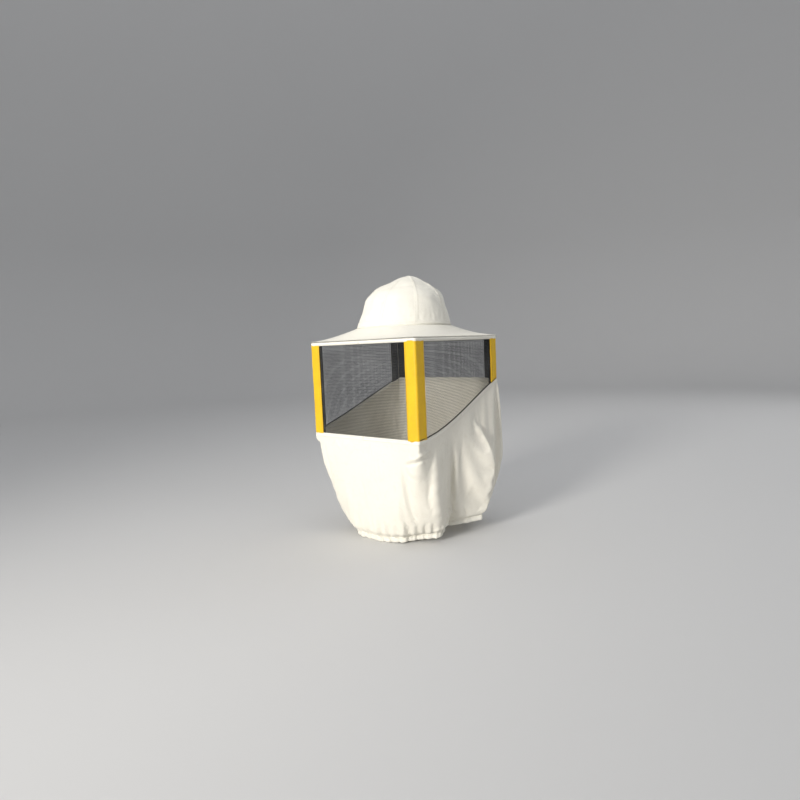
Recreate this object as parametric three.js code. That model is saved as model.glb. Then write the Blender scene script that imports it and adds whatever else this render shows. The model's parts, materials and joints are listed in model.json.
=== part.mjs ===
// A square folding beekeeper's veil with a sewn-in cotton hat and a gathered skirt.
// Units are millimetres. +Z is up and the veil faces -Y, so +X is on the wearer's left.
// The origin is the centre of the band that sits on the wearer's head.
import * as THREE from "three";

// ---- Mesh box ----
const SIDE = 300; // outside width and depth over the corner tapes
const RIM_DEPTH = 45; // head band's centre down to the brim's outer edge
const FRONT_DROP = 201; // visible mesh height at the front
const BACK_DROP = 96; // visible mesh height at the back
const LEFT_SAG = 14; // how far the left panel's lower edge bows below a straight line
const RIGHT_SAG = 3; // the same for the right panel
const SAG_SHAPE = 2.25; // control point height that gives a bow its full sag
const MESH_THICKNESS = 1.5;
const TAPE_THICKNESS = 1.2;
const TAPE_WIDTH = 22;
const INNER_TAPE_WIDTH = 25;
const TOP_BINDING_HEIGHT = 6;
const BOTTOM_BINDING_HEIGHT = 8;
const GAP = 0.3; // clearance between pieces that touch

// ---- Hat ----
const BRIM_RISE = 30; // brim's outer edge up to the crown's base
const BRIM_CURVE = 1.35; // how much later the brim rises than a straight slope
const BRIM_THICKNESS = 2.5;
const BRIM_LAP = 3; // how far the brim reaches in under the hat band
const CROWN_BASE_RADIUS = 106;
const SHOULDER_RADIUS = 78;
const SHOULDER_HEIGHT = 75; // crown's base up to the corner of wall and roof
const CROWN_HEIGHT = 114; // crown's base up to the peak
const SHOULDER_ROUNDING = 0.3; // share of the wall and of the roof that the rounding takes
const CROWN_THICKNESS = 2;
const PEAK_HOLE_RADIUS = 3; // where the gores' points meet
const GORES = 8;
const GORE_TURN = 10; // degrees from +X to the first seam
const HAT_BAND_HEIGHT = 14;
const HAT_BAND_THICKNESS = 2.4;
const SWEATBAND_HEIGHT = 26;
const SWEATBAND_THICKNESS = 2;

// ---- Skirt ----
const SKIRT_THICKNESS = 2.4;
const HEM_DEPTH = 448; // head band's centre down to the wall's end at the hem's middle
const HEM_TILT = 0.155; // rise of the hem for each millimetre towards the back
const HEM_RADIUS = 134;
const REAR_HEM_FULLNESS = 36; // extra hem radius at the rear left corner
const WALL_BOW = 6; // outward bow of the wall at half its height
const REAR_WALL_BOW = 20; // extra bow at the rear left corner
const WALL_SLOPE = 0.88; // share of the gathering that is spread evenly down the wall
const CASING_HEIGHT = 12;
const CASING_WIDTH = 7;
const CASING_WALL = 1.2;

// ---- Fineness ----
const EDGE_STEPS = 10;
const BRIM_ROWS = 4;
const WALL_ROWS = 8;
const GORE_STEPS = 4;
const GORE_ROWS = 10;
const RING_STEPS = 40;

// ---- Derived places ----
const HALF = SIDE / 2;
const RIM_Z = -RIM_DEPTH;
const CROWN_BASE_Z = RIM_Z + BRIM_RISE;
const MESH_FACE = HALF - TAPE_THICKNESS - GAP; // outer face of the wire mesh
const MESH_BACK = MESH_FACE - MESH_THICKNESS;
const INNER_TAPE_FACE = MESH_BACK - GAP;
const HINGE_PLANE = INNER_TAPE_FACE - TAPE_THICKNESS; // the corner hinges lie on it
const REACH = HINGE_PLANE - GAP; // half length of every panel piece
const BINDING_INNER = HINGE_PLANE;

const FINISH = {
  cotton: new THREE.MeshStandardMaterial({ color: 0xf4f0e2, roughness: 0.92, metalness: 0 }),
  brimCotton: new THREE.MeshStandardMaterial({ color: 0xf1ede0, roughness: 0.92, metalness: 0 }),
  binding: new THREE.MeshStandardMaterial({ color: 0xf7f4ea, roughness: 0.9, metalness: 0 }),
  wireMesh: new THREE.MeshStandardMaterial({ color: 0x30363a, roughness: 0.5, metalness: 0.6 }),
  yellowTape: new THREE.MeshStandardMaterial({ color: 0xf2bf12, roughness: 0.75, metalness: 0 }),
  blackTape: new THREE.MeshStandardMaterial({ color: 0x15150f, roughness: 0.85, metalness: 0 }),
  sweatband: new THREE.MeshStandardMaterial({ color: 0xd9cfb4, roughness: 0.95, metalness: 0 }),
  elastic: new THREE.MeshStandardMaterial({ color: 0xe8e6dd, roughness: 0.8, metalness: 0 }),
};

// The four sides of the box. Each is built facing -Y and turned about the middle.
const SIDES = [
  { name: "front", turn: 0, drop: () => FRONT_DROP },
  { name: "left", turn: Math.PI / 2, drop: (x) => sideDrop((x + HALF) / SIDE, LEFT_SAG) },
  { name: "back", turn: Math.PI, drop: () => BACK_DROP },
  { name: "right", turn: -Math.PI / 2, drop: (x) => sideDrop((HALF - x) / SIDE, RIGHT_SAG) },
];

// Mesh height of a side panel at the share t of the way from the front to the back.
function sideDrop(t, sag) {
  const straight = THREE.MathUtils.lerp(FRONT_DROP, BACK_DROP, t);
  return straight + 3 * t * (1 - t) * (1 - t) * SAG_SHAPE * sag;
}

// ---- Solids ----

// A closed body through rings of points. All rings have as many points, and
// capTriangles covers the first and last ring.
function bodyThrough(rings, capTriangles) {
  const size = rings[0].length;
  const index = [];
  for (let ring = 0; ring < rings.length - 1; ring++) {
    for (let k = 0; k < size; k++) {
      const a = ring * size + k;
      const b = ring * size + ((k + 1) % size);
      index.push(a, b, b + size, a, b + size, a + size);
    }
  }
  const last = (rings.length - 1) * size;
  for (const [a, b, c] of capTriangles) {
    index.push(a, c, b);
    index.push(last + a, last + b, last + c);
  }
  const geometry = new THREE.BufferGeometry().setFromPoints(rings.flat());
  geometry.setIndex(index);
  if (signedVolume(geometry) < 0) {
    geometry.setIndex(index.reverse());
  }
  geometry.computeVertexNormals();
  return geometry;
}

function signedVolume(geometry) {
  const position = geometry.getAttribute("position");
  const order = geometry.getIndex();
  const corner = [new THREE.Vector3(), new THREE.Vector3(), new THREE.Vector3()];
  let total = 0;
  for (let i = 0; i < order.count; i += 3) {
    corner.forEach((point, k) => point.fromBufferAttribute(position, order.getX(i + k)));
    total += corner[0].dot(corner[1].cross(corner[2])) / 6;
  }
  return total;
}

// The triangles that cover a flat contour, each in the contour's own order.
function capsOf(contour) {
  const triangles = THREE.ShapeUtils.triangulateShape(contour, []);
  return triangles.map((triangle) => [...triangle].sort((a, b) => a - b));
}

// A bar along x whose section, a list of [y, z], may change with x.
function barAlong(stations, sectionAt) {
  const sections = stations.map(sectionAt);
  const contour = sections[0].map(([y, z]) => new THREE.Vector2(y, z));
  const rings = stations.map((x, i) => sections[i].map(([y, z]) => new THREE.Vector3(x, y, z)));
  return bodyThrough(rings, capsOf(contour));
}

// A thin wall between an outer and an inner surface, each a function of the
// shares u and v, with the given number of steps along each.
function wallBetween(outer, inner, uSteps, vSteps) {
  const rings = [];
  for (let i = 0; i <= uSteps; i++) {
    const ring = [];
    for (let j = 0; j <= vSteps; j++) {
      ring.push(outer(i / uSteps, j / vSteps));
    }
    for (let j = vSteps; j >= 0; j--) {
      ring.push(inner(i / uSteps, j / vSteps));
    }
    rings.push(ring);
  }
  const ladder = [];
  for (let j = 0; j < vSteps; j++) {
    const far = 2 * vSteps + 1 - j;
    ladder.push([j, j + 1, far - 1], [j, far - 1, far]);
  }
  return bodyThrough(rings, ladder);
}

function steps(from, to, count) {
  return Array.from({ length: count + 1 }, (_, i) => THREE.MathUtils.lerp(from, to, i / count));
}

function part(name, geometry, material) {
  const mesh = new THREE.Mesh(geometry, material);
  mesh.name = name;
  return mesh;
}

// A turned ring, from its section's corners [radius, z].
function ring(corners) {
  const profile = [...corners, corners[0]].map(([r, z]) => new THREE.Vector2(r, z));
  const geometry = new THREE.LatheGeometry(profile, RING_STEPS);
  return geometry.rotateX(Math.PI / 2);
}

// ---- Hat ----

// The crown's outside from its base to the peak, as points (radius, z).
function crownProfile() {
  const base = new THREE.Vector2(CROWN_BASE_RADIUS, CROWN_BASE_Z);
  const shoulder = new THREE.Vector2(SHOULDER_RADIUS, CROWN_BASE_Z + SHOULDER_HEIGHT);
  const peak = new THREE.Vector2(0, CROWN_BASE_Z + CROWN_HEIGHT);
  const wallEnd = shoulder.clone().lerp(base, SHOULDER_ROUNDING);
  const roofStart = shoulder.clone().lerp(peak, SHOULDER_ROUNDING);
  const path = new THREE.Path().moveTo(base.x, base.y);
  path.lineTo(wallEnd.x, wallEnd.y);
  path.quadraticCurveTo(shoulder.x, shoulder.y, roofStart.x, roofStart.y);
  path.lineTo(peak.x, peak.y);
  return path;
}

const CROWN = crownProfile();
const CROWN_WALL_TILT = (CROWN_BASE_RADIUS - SHOULDER_RADIUS) / SHOULDER_HEIGHT;
const GORE_START = HAT_BAND_HEIGHT / CROWN.getLength();
const GORE_END = 1 - PEAK_HOLE_RADIUS / CROWN.getLength();

// A point of the crown's surface, set in by the given depth.
function crownPoint(angle, share, depth) {
  const place = CROWN.getPointAt(THREE.MathUtils.lerp(GORE_START, GORE_END, share));
  const along = CROWN.getTangentAt(THREE.MathUtils.lerp(GORE_START, GORE_END, share));
  const radius = Math.max(place.x - along.y * depth, PEAK_HOLE_RADIUS);
  const z = place.y + along.x * depth;
  return new THREE.Vector3(radius * Math.cos(angle), radius * Math.sin(angle), z);
}

function crownGore(number) {
  const pitch = (2 * Math.PI) / GORES;
  const middle = (number - 0.5) * pitch + THREE.MathUtils.degToRad(GORE_TURN);
  const surface = (depth) => (u, v) => {
    const radius = crownPoint(0, v, depth).x;
    const seam = Math.asin(GAP / 2 / radius);
    const angle = middle + (u - 0.5) * (pitch - 2 * seam);
    return crownPoint(angle, v, depth);
  };
  return wallBetween(surface(0), surface(CROWN_THICKNESS), GORE_STEPS, GORE_ROWS);
}

// A ring that leans in as the crown's wall does, set in from the crown's outside.
function leaningRing(low, high, depth, thickness) {
  const outside = (z) => CROWN_BASE_RADIUS - (z - CROWN_BASE_Z) * CROWN_WALL_TILT - depth;
  return ring([
    [outside(low) - thickness, low],
    [outside(low), low],
    [outside(high), high],
    [outside(high) - thickness, high],
  ]);
}

// The band that joins brim and crown.
function hatBand() {
  const high = crownPoint(0, 0, CROWN_THICKNESS).z - GAP;
  return leaningRing(CROWN_BASE_Z + GAP, high, 0, HAT_BAND_THICKNESS);
}

function sweatband() {
  const half = SWEATBAND_HEIGHT / 2;
  const low = Math.max(-half, CROWN_BASE_Z + GAP);
  return leaningRing(low, half, HAT_BAND_THICKNESS + GAP, SWEATBAND_THICKNESS);
}

function hat() {
  const group = new THREE.Group();
  for (let number = 1; number <= GORES; number++) {
    group.add(part(`crown_gore_${number}`, crownGore(number), FINISH.cotton));
  }
  group.add(part("hat_band", hatBand(), FINISH.brimCotton));
  group.add(part("sweatband", sweatband(), FINISH.sweatband));
  return group;
}

// ---- Pieces of one side, all facing -Y ----

const edgeStations = steps(-REACH, REACH, EDGE_STEPS);

// Height of the lower edge of a side's visible mesh, straight between stations.
function edgeZ(side, x) {
  const place = ((x + REACH) / (2 * REACH)) * EDGE_STEPS;
  const before = THREE.MathUtils.clamp(Math.floor(place), 0, EDGE_STEPS - 1);
  const low = side.drop(edgeStations[before]);
  const high = side.drop(edgeStations[before + 1]);
  return RIM_Z - THREE.MathUtils.lerp(low, high, place - before);
}

function slab(stations, outer, thickness, top, bottomAt) {
  return barAlong(stations, (x) => [
    [-outer, top],
    [-outer, bottomAt(x)],
    [thickness - outer, bottomAt(x)],
    [thickness - outer, top],
  ]);
}

function wireMesh(side) {
  const cover = TAPE_THICKNESS + GAP;
  const top = RIM_Z - GAP - cover;
  const bottomAt = (x) => edgeZ(side, x) - BOTTOM_BINDING_HEIGHT + cover;
  return slab(edgeStations, MESH_FACE, MESH_THICKNESS, top, bottomAt);
}

// A folded binding around the mesh's edge. direction is 1 where its fold is on
// top and -1 where it is underneath.
function binding(stations, foldAt, height, direction) {
  return barAlong(stations, (x) => {
    const fold = foldAt(x);
    const inside = fold - direction * TAPE_THICKNESS;
    const mouth = fold - direction * height;
    return [
      [-HALF, mouth],
      [-HALF, fold],
      [-BINDING_INNER, fold],
      [-BINDING_INNER, mouth],
      [-INNER_TAPE_FACE, mouth],
      [-INNER_TAPE_FACE, inside],
      [TAPE_THICKNESS - HALF, inside],
      [TAPE_THICKNESS - HALF, mouth],
    ];
  });
}

function topBinding() {
  const length = REACH - Math.max(TAPE_WIDTH, INNER_TAPE_WIDTH) - GAP;
  return binding([-length, length], () => RIM_Z - GAP, TOP_BINDING_HEIGHT, 1);
}

function bottomBinding(side) {
  const foldAt = (x) => edgeZ(side, x) - BOTTOM_BINDING_HEIGHT;
  return binding(edgeStations, foldAt, BOTTOM_BINDING_HEIGHT, -1);
}

// One leg of a corner tape. end is -1 at the side's low-x corner and 1 at the other.
function tapeLeg(side, end, outer, width) {
  const limits = [end * REACH, end * (REACH - width)].sort((a, b) => a - b);
  const between = edgeStations.filter((x) => x > limits[0] + GAP && x < limits[1] - GAP);
  const stations = [limits[0], ...between, limits[1]];
  const bottomAt = (x) => edgeZ(side, x) + GAP;
  return slab(stations, outer, TAPE_THICKNESS, RIM_Z - GAP, bottomAt);
}

// A quarter of the brim, from the square edge up to the crown's round base.
function brimQuarter() {
  const inner = CROWN_BASE_RADIUS - BRIM_LAP;
  const surface = (lift) => (u, v) => {
    const seam = GAP / Math.SQRT2;
    const angle = THREE.MathUtils.lerp(-0.75 * Math.PI, -0.25 * Math.PI, u);
    const shrink = 1 - seam / inner;
    const from = new THREE.Vector2(THREE.MathUtils.lerp(-HALF + seam, HALF - seam, u), -HALF);
    const to = new THREE.Vector2(inner * Math.cos(angle) * shrink, inner * Math.sin(angle));
    const at = from.lerp(to, v);
    const z = RIM_Z + lift + (BRIM_RISE - BRIM_THICKNESS) * Math.pow(v, BRIM_CURVE);
    return new THREE.Vector3(at.x, at.y, z);
  };
  return wallBetween(surface(BRIM_THICKNESS), surface(0), EDGE_STEPS, BRIM_ROWS);
}

// How strongly a direction, in the whole veil's frame, is the rear left corner's.
function rearness(angle) {
  return Math.pow(Math.max(0, Math.cos(angle - Math.PI / 4)), 2);
}

function hemRadius(angle) {
  return HEM_RADIUS + REAR_HEM_FULLNESS * rearness(angle);
}

function hemZ(angle) {
  return -HEM_DEPTH + HEM_TILT * hemRadius(angle) * Math.sin(angle);
}

// The direction, in a side's own frame, at the share u of its quarter of the hem.
function hemAngle(u) {
  const seam = GAP / HEM_RADIUS;
  return THREE.MathUtils.lerp(-0.75 * Math.PI + seam, -0.25 * Math.PI - seam, u);
}

// A quarter of the skirt's wall, from the lower binding to the hem.
function skirtWall(side) {
  const outerFace = HALF - (HALF - HINGE_PLANE - SKIRT_THICKNESS) / 2;
  const surface = (depth) => (u, v) => {
    const local = hemAngle(u);
    const world = local + side.turn;
    const x = THREE.MathUtils.lerp(-REACH, REACH, u);
    const top = edgeZ(side, x) - BOTTOM_BINDING_HEIGHT - GAP;
    const bow = (WALL_BOW + REAR_WALL_BOW * rearness(world)) * Math.sin(Math.PI * v);
    const radius = hemRadius(world) - depth;
    const drawnIn = WALL_SLOPE * v + (1 - WALL_SLOPE) * Math.pow(v, 6);
    const outX = THREE.MathUtils.lerp(x, radius * Math.cos(local), drawnIn);
    const outY = THREE.MathUtils.lerp(depth - outerFace, radius * Math.sin(local), drawnIn);
    const z = THREE.MathUtils.lerp(top, hemZ(world), v);
    return new THREE.Vector3(outX + bow * Math.cos(local), outY + bow * Math.sin(local), z);
  };
  return wallBetween(surface(0), surface(SKIRT_THICKNESS), EDGE_STEPS, WALL_ROWS);
}

// A bar along a quarter of the hem. Its section is a list of [depth, height]:
// inwards from the hem's outside and down from the wall's lower end.
function hemBar(side, section) {
  const contour = section.map(([depth, fall]) => new THREE.Vector2(depth, fall));
  const rings = steps(0, 1, EDGE_STEPS).map((u) => {
    const local = hemAngle(u);
    const world = local + side.turn;
    return section.map(([depth, fall]) => {
      const radius = hemRadius(world) - depth;
      const z = hemZ(world) - GAP - fall;
      return new THREE.Vector3(radius * Math.cos(local), radius * Math.sin(local), z);
    });
  });
  return bodyThrough(rings, capsOf(contour));
}

// The folded casing is open towards the wall that it is sewn to.
function hemCasing(side) {
  return hemBar(side, [
    [0, 0],
    [0, CASING_HEIGHT],
    [CASING_WIDTH, CASING_HEIGHT],
    [CASING_WIDTH, 0],
    [CASING_WIDTH - CASING_WALL, 0],
    [CASING_WIDTH - CASING_WALL, CASING_HEIGHT - CASING_WALL],
    [CASING_WALL, CASING_HEIGHT - CASING_WALL],
    [CASING_WALL, 0],
  ]);
}

function hemElastic(side) {
  const near = CASING_WALL + GAP;
  const far = CASING_WIDTH - near;
  const low = CASING_HEIGHT - CASING_WALL - GAP;
  return hemBar(side, [
    [near, GAP],
    [near, low],
    [far, low],
    [far, GAP],
  ]);
}

function sideAssembly(side) {
  const group = new THREE.Group();
  group.rotation.z = side.turn;
  const named = (piece) => `${side.name}_${piece}`;
  group.add(part(named("mesh"), wireMesh(side), FINISH.wireMesh));
  group.add(part(named("top_binding"), topBinding(), FINISH.binding));
  group.add(part(named("bottom_binding"), bottomBinding(side), FINISH.binding));
  [-1, 1].forEach((end, i) => {
    const outer = tapeLeg(side, end, HALF, TAPE_WIDTH);
    const inner = tapeLeg(side, end, INNER_TAPE_FACE, INNER_TAPE_WIDTH);
    group.add(part(named(`outer_tape_${i + 1}`), outer, FINISH.yellowTape));
    group.add(part(named(`inner_tape_${i + 1}`), inner, FINISH.blackTape));
  });
  group.add(part(named("brim"), brimQuarter(), FINISH.brimCotton));
  group.add(part(named("skirt"), skirtWall(side), FINISH.cotton));
  group.add(part(named("hem_casing"), hemCasing(side), FINISH.cotton));
  group.add(part(named("hem_elastic"), hemElastic(side), FINISH.elastic));
  return group;
}

const veil = new THREE.Group();
veil.add(hat());
SIDES.forEach((side) => veil.add(sideAssembly(side)));

export default veil;
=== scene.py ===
"""Finished model of a square folding beekeeper's veil: wire mesh box, taped corners, cotton hat and skirt."""

import json
import logging
import math
from dataclasses import dataclass, field
from enum import Enum
from typing import Callable, Iterable, Sequence

import bpy
import numpy as np
from mathutils import Matrix, Vector


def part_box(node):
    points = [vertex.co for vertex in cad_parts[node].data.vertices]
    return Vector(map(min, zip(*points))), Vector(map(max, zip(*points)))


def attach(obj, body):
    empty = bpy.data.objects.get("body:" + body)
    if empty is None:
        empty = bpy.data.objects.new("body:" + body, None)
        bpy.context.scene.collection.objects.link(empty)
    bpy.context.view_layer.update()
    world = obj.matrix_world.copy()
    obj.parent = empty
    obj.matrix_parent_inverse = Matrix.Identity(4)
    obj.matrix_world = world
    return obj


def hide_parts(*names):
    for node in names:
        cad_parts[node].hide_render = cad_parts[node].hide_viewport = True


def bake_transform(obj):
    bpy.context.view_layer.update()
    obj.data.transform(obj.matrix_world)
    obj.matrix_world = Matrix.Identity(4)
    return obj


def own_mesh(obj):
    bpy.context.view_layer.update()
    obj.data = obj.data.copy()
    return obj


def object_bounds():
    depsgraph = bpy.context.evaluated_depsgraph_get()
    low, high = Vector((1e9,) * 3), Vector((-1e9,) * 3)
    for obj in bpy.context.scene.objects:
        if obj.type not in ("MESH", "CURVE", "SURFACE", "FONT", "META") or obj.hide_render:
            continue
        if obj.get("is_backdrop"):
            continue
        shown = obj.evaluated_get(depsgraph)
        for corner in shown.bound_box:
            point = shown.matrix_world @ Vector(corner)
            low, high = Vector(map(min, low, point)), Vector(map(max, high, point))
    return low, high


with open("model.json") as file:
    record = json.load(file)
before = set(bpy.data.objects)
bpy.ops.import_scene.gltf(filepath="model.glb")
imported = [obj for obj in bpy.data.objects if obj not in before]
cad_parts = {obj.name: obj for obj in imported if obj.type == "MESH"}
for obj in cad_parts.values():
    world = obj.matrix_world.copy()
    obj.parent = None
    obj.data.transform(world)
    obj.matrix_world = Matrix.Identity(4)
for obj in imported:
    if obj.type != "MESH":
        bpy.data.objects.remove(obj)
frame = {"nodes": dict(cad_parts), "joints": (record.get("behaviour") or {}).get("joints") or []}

LOG = logging.getLogger("veil")
MM = 0.001
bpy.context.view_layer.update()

Array = np.ndarray
Colour = tuple[float, float, float]
Piece = bpy.types.Object
Material = bpy.types.Material
Socket = bpy.types.NodeSocket
Tree = bpy.types.NodeTree
Value = Socket | float | int | bool | tuple | str | Material


# ---------------------------------------------------------------- places


def spin(points: Array, angle: float) -> Array:
    """Turns points about +Z.

    Args:
        points: places or directions, with x, y and z last.
        angle: how far, in radians.

    Returns:
        The turned points.
    """
    c, s = math.cos(angle), math.sin(angle)
    turned = np.array(points, float)
    x, y = turned[..., 0].copy(), turned[..., 1].copy()
    turned[..., 0] = x * c - y * s
    turned[..., 1] = x * s + y * c
    return turned


def stack(*parts: Array | float) -> Array:
    """Puts coordinates together as the last axis."""
    return np.stack(np.broadcast_arrays(*parts), -1)


def circle(count: int) -> Array:
    """Evenly spaced directions, in radians."""
    return np.arange(count) / count * 2 * math.pi


def unit(vectors: Array) -> Array:
    """Vectors of length 1 in the same directions."""
    return vectors / np.maximum(np.linalg.norm(vectors, axis=-1, keepdims=True), 1e-12)


def steps(points: Array, axis: int = 0) -> Array:
    """Distance from each point to the next along an axis."""
    return np.linalg.norm(np.diff(points, axis=axis), axis=-1)


def running(distances: Array) -> Array:
    """Distance from the start to each point, from the steps between them."""
    return np.concatenate([[0], np.cumsum(distances)])


class Side(Enum):
    """The four sides of the mesh box, in the order met when turning to the wearer's left."""

    FRONT = "front"
    LEFT = "left"
    BACK = "back"
    RIGHT = "right"

    @property
    def turn(self) -> float:
        """Angle about +Z from the front side to this side."""
        return {"front": 0.0, "left": 0.5, "back": 1.0, "right": -0.5}[self.value] * math.pi

    @property
    def out(self) -> Array:
        """Direction that this side faces."""
        return self.place(np.array([0.0, -1.0, 0.0]))

    @property
    def body(self) -> str:
        """Name of the body that carries this side."""
        return f"{self.value}_panel"

    @property
    def fold_joint(self) -> str:
        """Joint that moves this side."""
        return {"front": "front_swing", "left": "fold_left", "back": "fold_back", "right": "fold"}[self.value]

    def node(self, piece: str) -> str:
        """Name of one of this side's CAD nodes."""
        return f"{self.value}_{piece}"

    def place(self, local: Array) -> Array:
        """Turns points from the side's own frame, facing -Y, into the veil's frame."""
        return spin(local, self.turn)

    def local(self, world: Array) -> Array:
        """Turns points from the veil's frame into the side's own frame."""
        return spin(world, -self.turn)


@dataclass(frozen=True)
class Corner:
    """A corner of the box.

    Attributes:
        before: side whose high end meets the corner.
        after: side whose low end meets the corner.
        hinged: False at the corner whose two sides are not joined.
    """

    before: Side
    after: Side
    hinged: bool = True


CORNERS = (
    Corner(Side.FRONT, Side.LEFT),
    Corner(Side.LEFT, Side.BACK),
    Corner(Side.BACK, Side.RIGHT, hinged=False),
    Corner(Side.RIGHT, Side.FRONT),
)


def vertices(mesh: bpy.types.Mesh) -> Array:
    """Places of a mesh's vertices.

    Args:
        mesh: the mesh.

    Returns:
        One row for each vertex.
    """
    points = np.zeros(len(mesh.vertices) * 3)
    mesh.vertices.foreach_get("co", points)
    return points.reshape(-1, 3)


@dataclass(frozen=True)
class EdgeLine:
    """Lower edge of one side's mesh, read from its binding's CAD node.

    Attributes:
        x: stations along the side, in its own frame.
        mesh_z: lower end of the visible mesh at each station.
        binding_z: lower end of the binding at each station.
    """

    x: Array
    mesh_z: Array
    binding_z: Array

    @classmethod
    def of(cls, side: Side) -> "EdgeLine":
        """Reads the edge line of a side.

        Args:
            side: the side.

        Returns:
            Its edge line.
        """
        points = side.local(vertices(frame["nodes"][side.node("bottom_binding")].data))
        stations = np.unique(np.round(points[:, 0], 5))
        rows = [points[np.abs(points[:, 0] - x) < 2e-5][:, 2] for x in stations]
        return cls(stations, np.array([r.max() for r in rows]), np.array([r.min() for r in rows]))

    def mesh_end(self, x: Array) -> Array:
        """Height of the visible mesh's lower end at x."""
        return np.interp(x, self.x, self.mesh_z)

    def binding_end(self, x: Array) -> Array:
        """Height of the binding's lower end at x."""
        return np.interp(x, self.x, self.binding_z)


@dataclass(frozen=True)
class HemLine:
    """The hem's outline, read from the casing's CAD nodes.

    Attributes:
        angle: directions about +Z, rising.
        radius: the casing's outer radius in each direction.
        top: the casing's upper end in each direction.
    """

    angle: Array
    radius: Array
    top: Array

    @classmethod
    def read(cls) -> "HemLine":
        """Reads the hem from the four casing nodes.

        Returns:
            The hem's outline.
        """
        points = np.vstack([vertices(frame["nodes"][side.node("hem_casing")].data) for side in Side])
        angle = np.round(np.arctan2(points[:, 1], points[:, 0]), 4)
        rows = []
        for a in np.unique(angle):
            near = points[np.abs(angle - a) < 2e-4]
            rows.append((a, np.hypot(near[:, 0], near[:, 1]).max(), near[:, 2].max()))
        return cls(*np.array(rows).T)

    def at(self, angle: Array, values: Array) -> Array:
        """Interpolates one of the outline's values at the given directions."""
        return np.interp(angle, self.angle, values, period=2 * math.pi)


@dataclass(frozen=True)
class VeilFrame:
    """Places shared by all sub-assemblies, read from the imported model."""

    half: float
    rim_z: float
    crown_base_z: float
    crown_top_z: float
    crown_radius: float
    hinge: float
    edges: dict[Side, EdgeLine]
    hem: HemLine

    @classmethod
    def read(cls) -> "VeilFrame":
        """Reads the frame's places from its boxes, vertices and joints.

        Returns:
            The places.
        """
        brim_low, brim_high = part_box("front_brim")
        return cls(
            half=-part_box("front_outer_tape_1")[0].y,
            rim_z=brim_low.z,
            crown_base_z=brim_high.z,
            crown_top_z=max(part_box(f"crown_gore_{k}")[1].z for k in range(1, 9)),
            crown_radius=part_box("hat_band")[1].x,
            hinge=max(abs(c) for j in frame["joints"] for c in j["pos_m"]),
            edges={side: EdgeLine.of(side) for side in Side},
            hem=HemLine.read(),
        )


# ---------------------------------------------------------------- meshes


def soft_noise(points: Array, wavelength: float, seed: int, waves: int = 7) -> Array:
    """Smooth random field between about -1 and 1.

    Args:
        points: places to sample, with x, y and z last.
        wavelength: size of its swells, in metres.
        seed: picks the field.
        waves: how many plane waves are summed.

    Returns:
        One value for each point.
    """
    rng = np.random.default_rng(seed)
    total = np.zeros(points.shape[:-1])
    for _ in range(waves):
        direction = rng.normal(size=3)
        direction /= np.linalg.norm(direction)
        rate = 2 * math.pi / (wavelength * rng.uniform(0.7, 1.5))
        total += np.sin(points @ direction * rate + rng.uniform(0, 2 * math.pi))
    return total * math.sqrt(2 / waves) * 0.6


def smooth_step(low: float, high: float, value: Array) -> Array:
    """Rises smoothly from 0 at low to 1 at high."""
    t = np.clip((value - low) / (high - low), 0, 1)
    return t * t * (3 - 2 * t)


def bump(away: Array, width: float) -> Array:
    """A smooth bump of height 1, from the distance to its middle."""
    return np.exp(-((away / width) ** 2))


def boxed(value: Array, power: float) -> Array:
    """Bends a sine or cosine towards a box's sides, with a power below 1."""
    return np.sign(value) * np.abs(value) ** power


def doubled(points: Array, closed: bool) -> Array:
    """Puts a point on a smooth curve between each two rows.

    Args:
        points: rows of points.
        closed: True where the last row joins the first.

    Returns:
        The finer rows.
    """
    if closed:
        before, after, beyond = (np.roll(points, shift, 0) for shift in (1, -1, -2))
    else:
        before = np.concatenate([2 * points[:1] - points[1:2], points[:-1]])
        after = np.concatenate([points[1:], 2 * points[-1:] - points[-2:-1]])
        beyond = np.concatenate([after[1:], 2 * after[-1:] - after[-2:-1]])
    middle = (9 * (points + after) - before - beyond) / 16
    woven = np.stack([points, middle], 1).reshape(-1, *points.shape[1:])
    return woven if closed else woven[:-1]


def refine(grid: Array) -> Array:
    """Doubles the rows and columns of a grid whose last column joins the first."""
    return doubled(doubled(grid, False).swapaxes(0, 1), True).swapaxes(0, 1)


def grid_normals(grid: Array, wrap: bool) -> Array:
    """Unit normals of a grid, pointing along rows cross columns.

    Args:
        grid: rows by columns by 3.
        wrap: True where the last column joins the first.

    Returns:
        One normal for each point.
    """
    across = np.roll(grid, -1, 1) - np.roll(grid, 1, 1) if wrap else np.gradient(grid, axis=1)
    return unit(np.cross(np.gradient(grid, axis=0), across))


def new_object(name: str, points: Array, faces: Sequence[Sequence[int]] = (), edges: Sequence = ()) -> Piece:
    """Makes a mesh object at the origin, shaded smooth.

    Args:
        name: the object's name.
        points: its vertices, with x, y and z last.
        faces: each face's vertices, in order.
        edges: pairs of vertices, where it has no faces.

    Returns:
        The object.
    """
    mesh = bpy.data.meshes.new(name)
    mesh.from_pydata(np.asarray(points, float).reshape(-1, 3).tolist(), edges, faces)
    mesh.shade_smooth()
    obj = bpy.data.objects.new(name, mesh)
    bpy.context.scene.collection.objects.link(obj)
    return obj


def add_uv(obj: Piece, per_vertex: Array) -> None:
    """Gives an object a UV map.

    Args:
        obj: the object.
        per_vertex: the map's two values for each vertex.
    """
    layer = obj.data.uv_layers.new(name="UVMap")
    corners = np.zeros(len(obj.data.loops), int)
    obj.data.loops.foreach_get("vertex_index", corners)
    layer.uv.foreach_set("vector", per_vertex[corners].astype(np.float32).ravel())


def cloth_uv(grid: Array) -> Array:
    """Distances along the rows and columns of a grid, as a UV map in metres."""
    return stack(running(steps(grid, 1).mean(0))[None, :], running(steps(grid).mean(1))[:, None])


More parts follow.
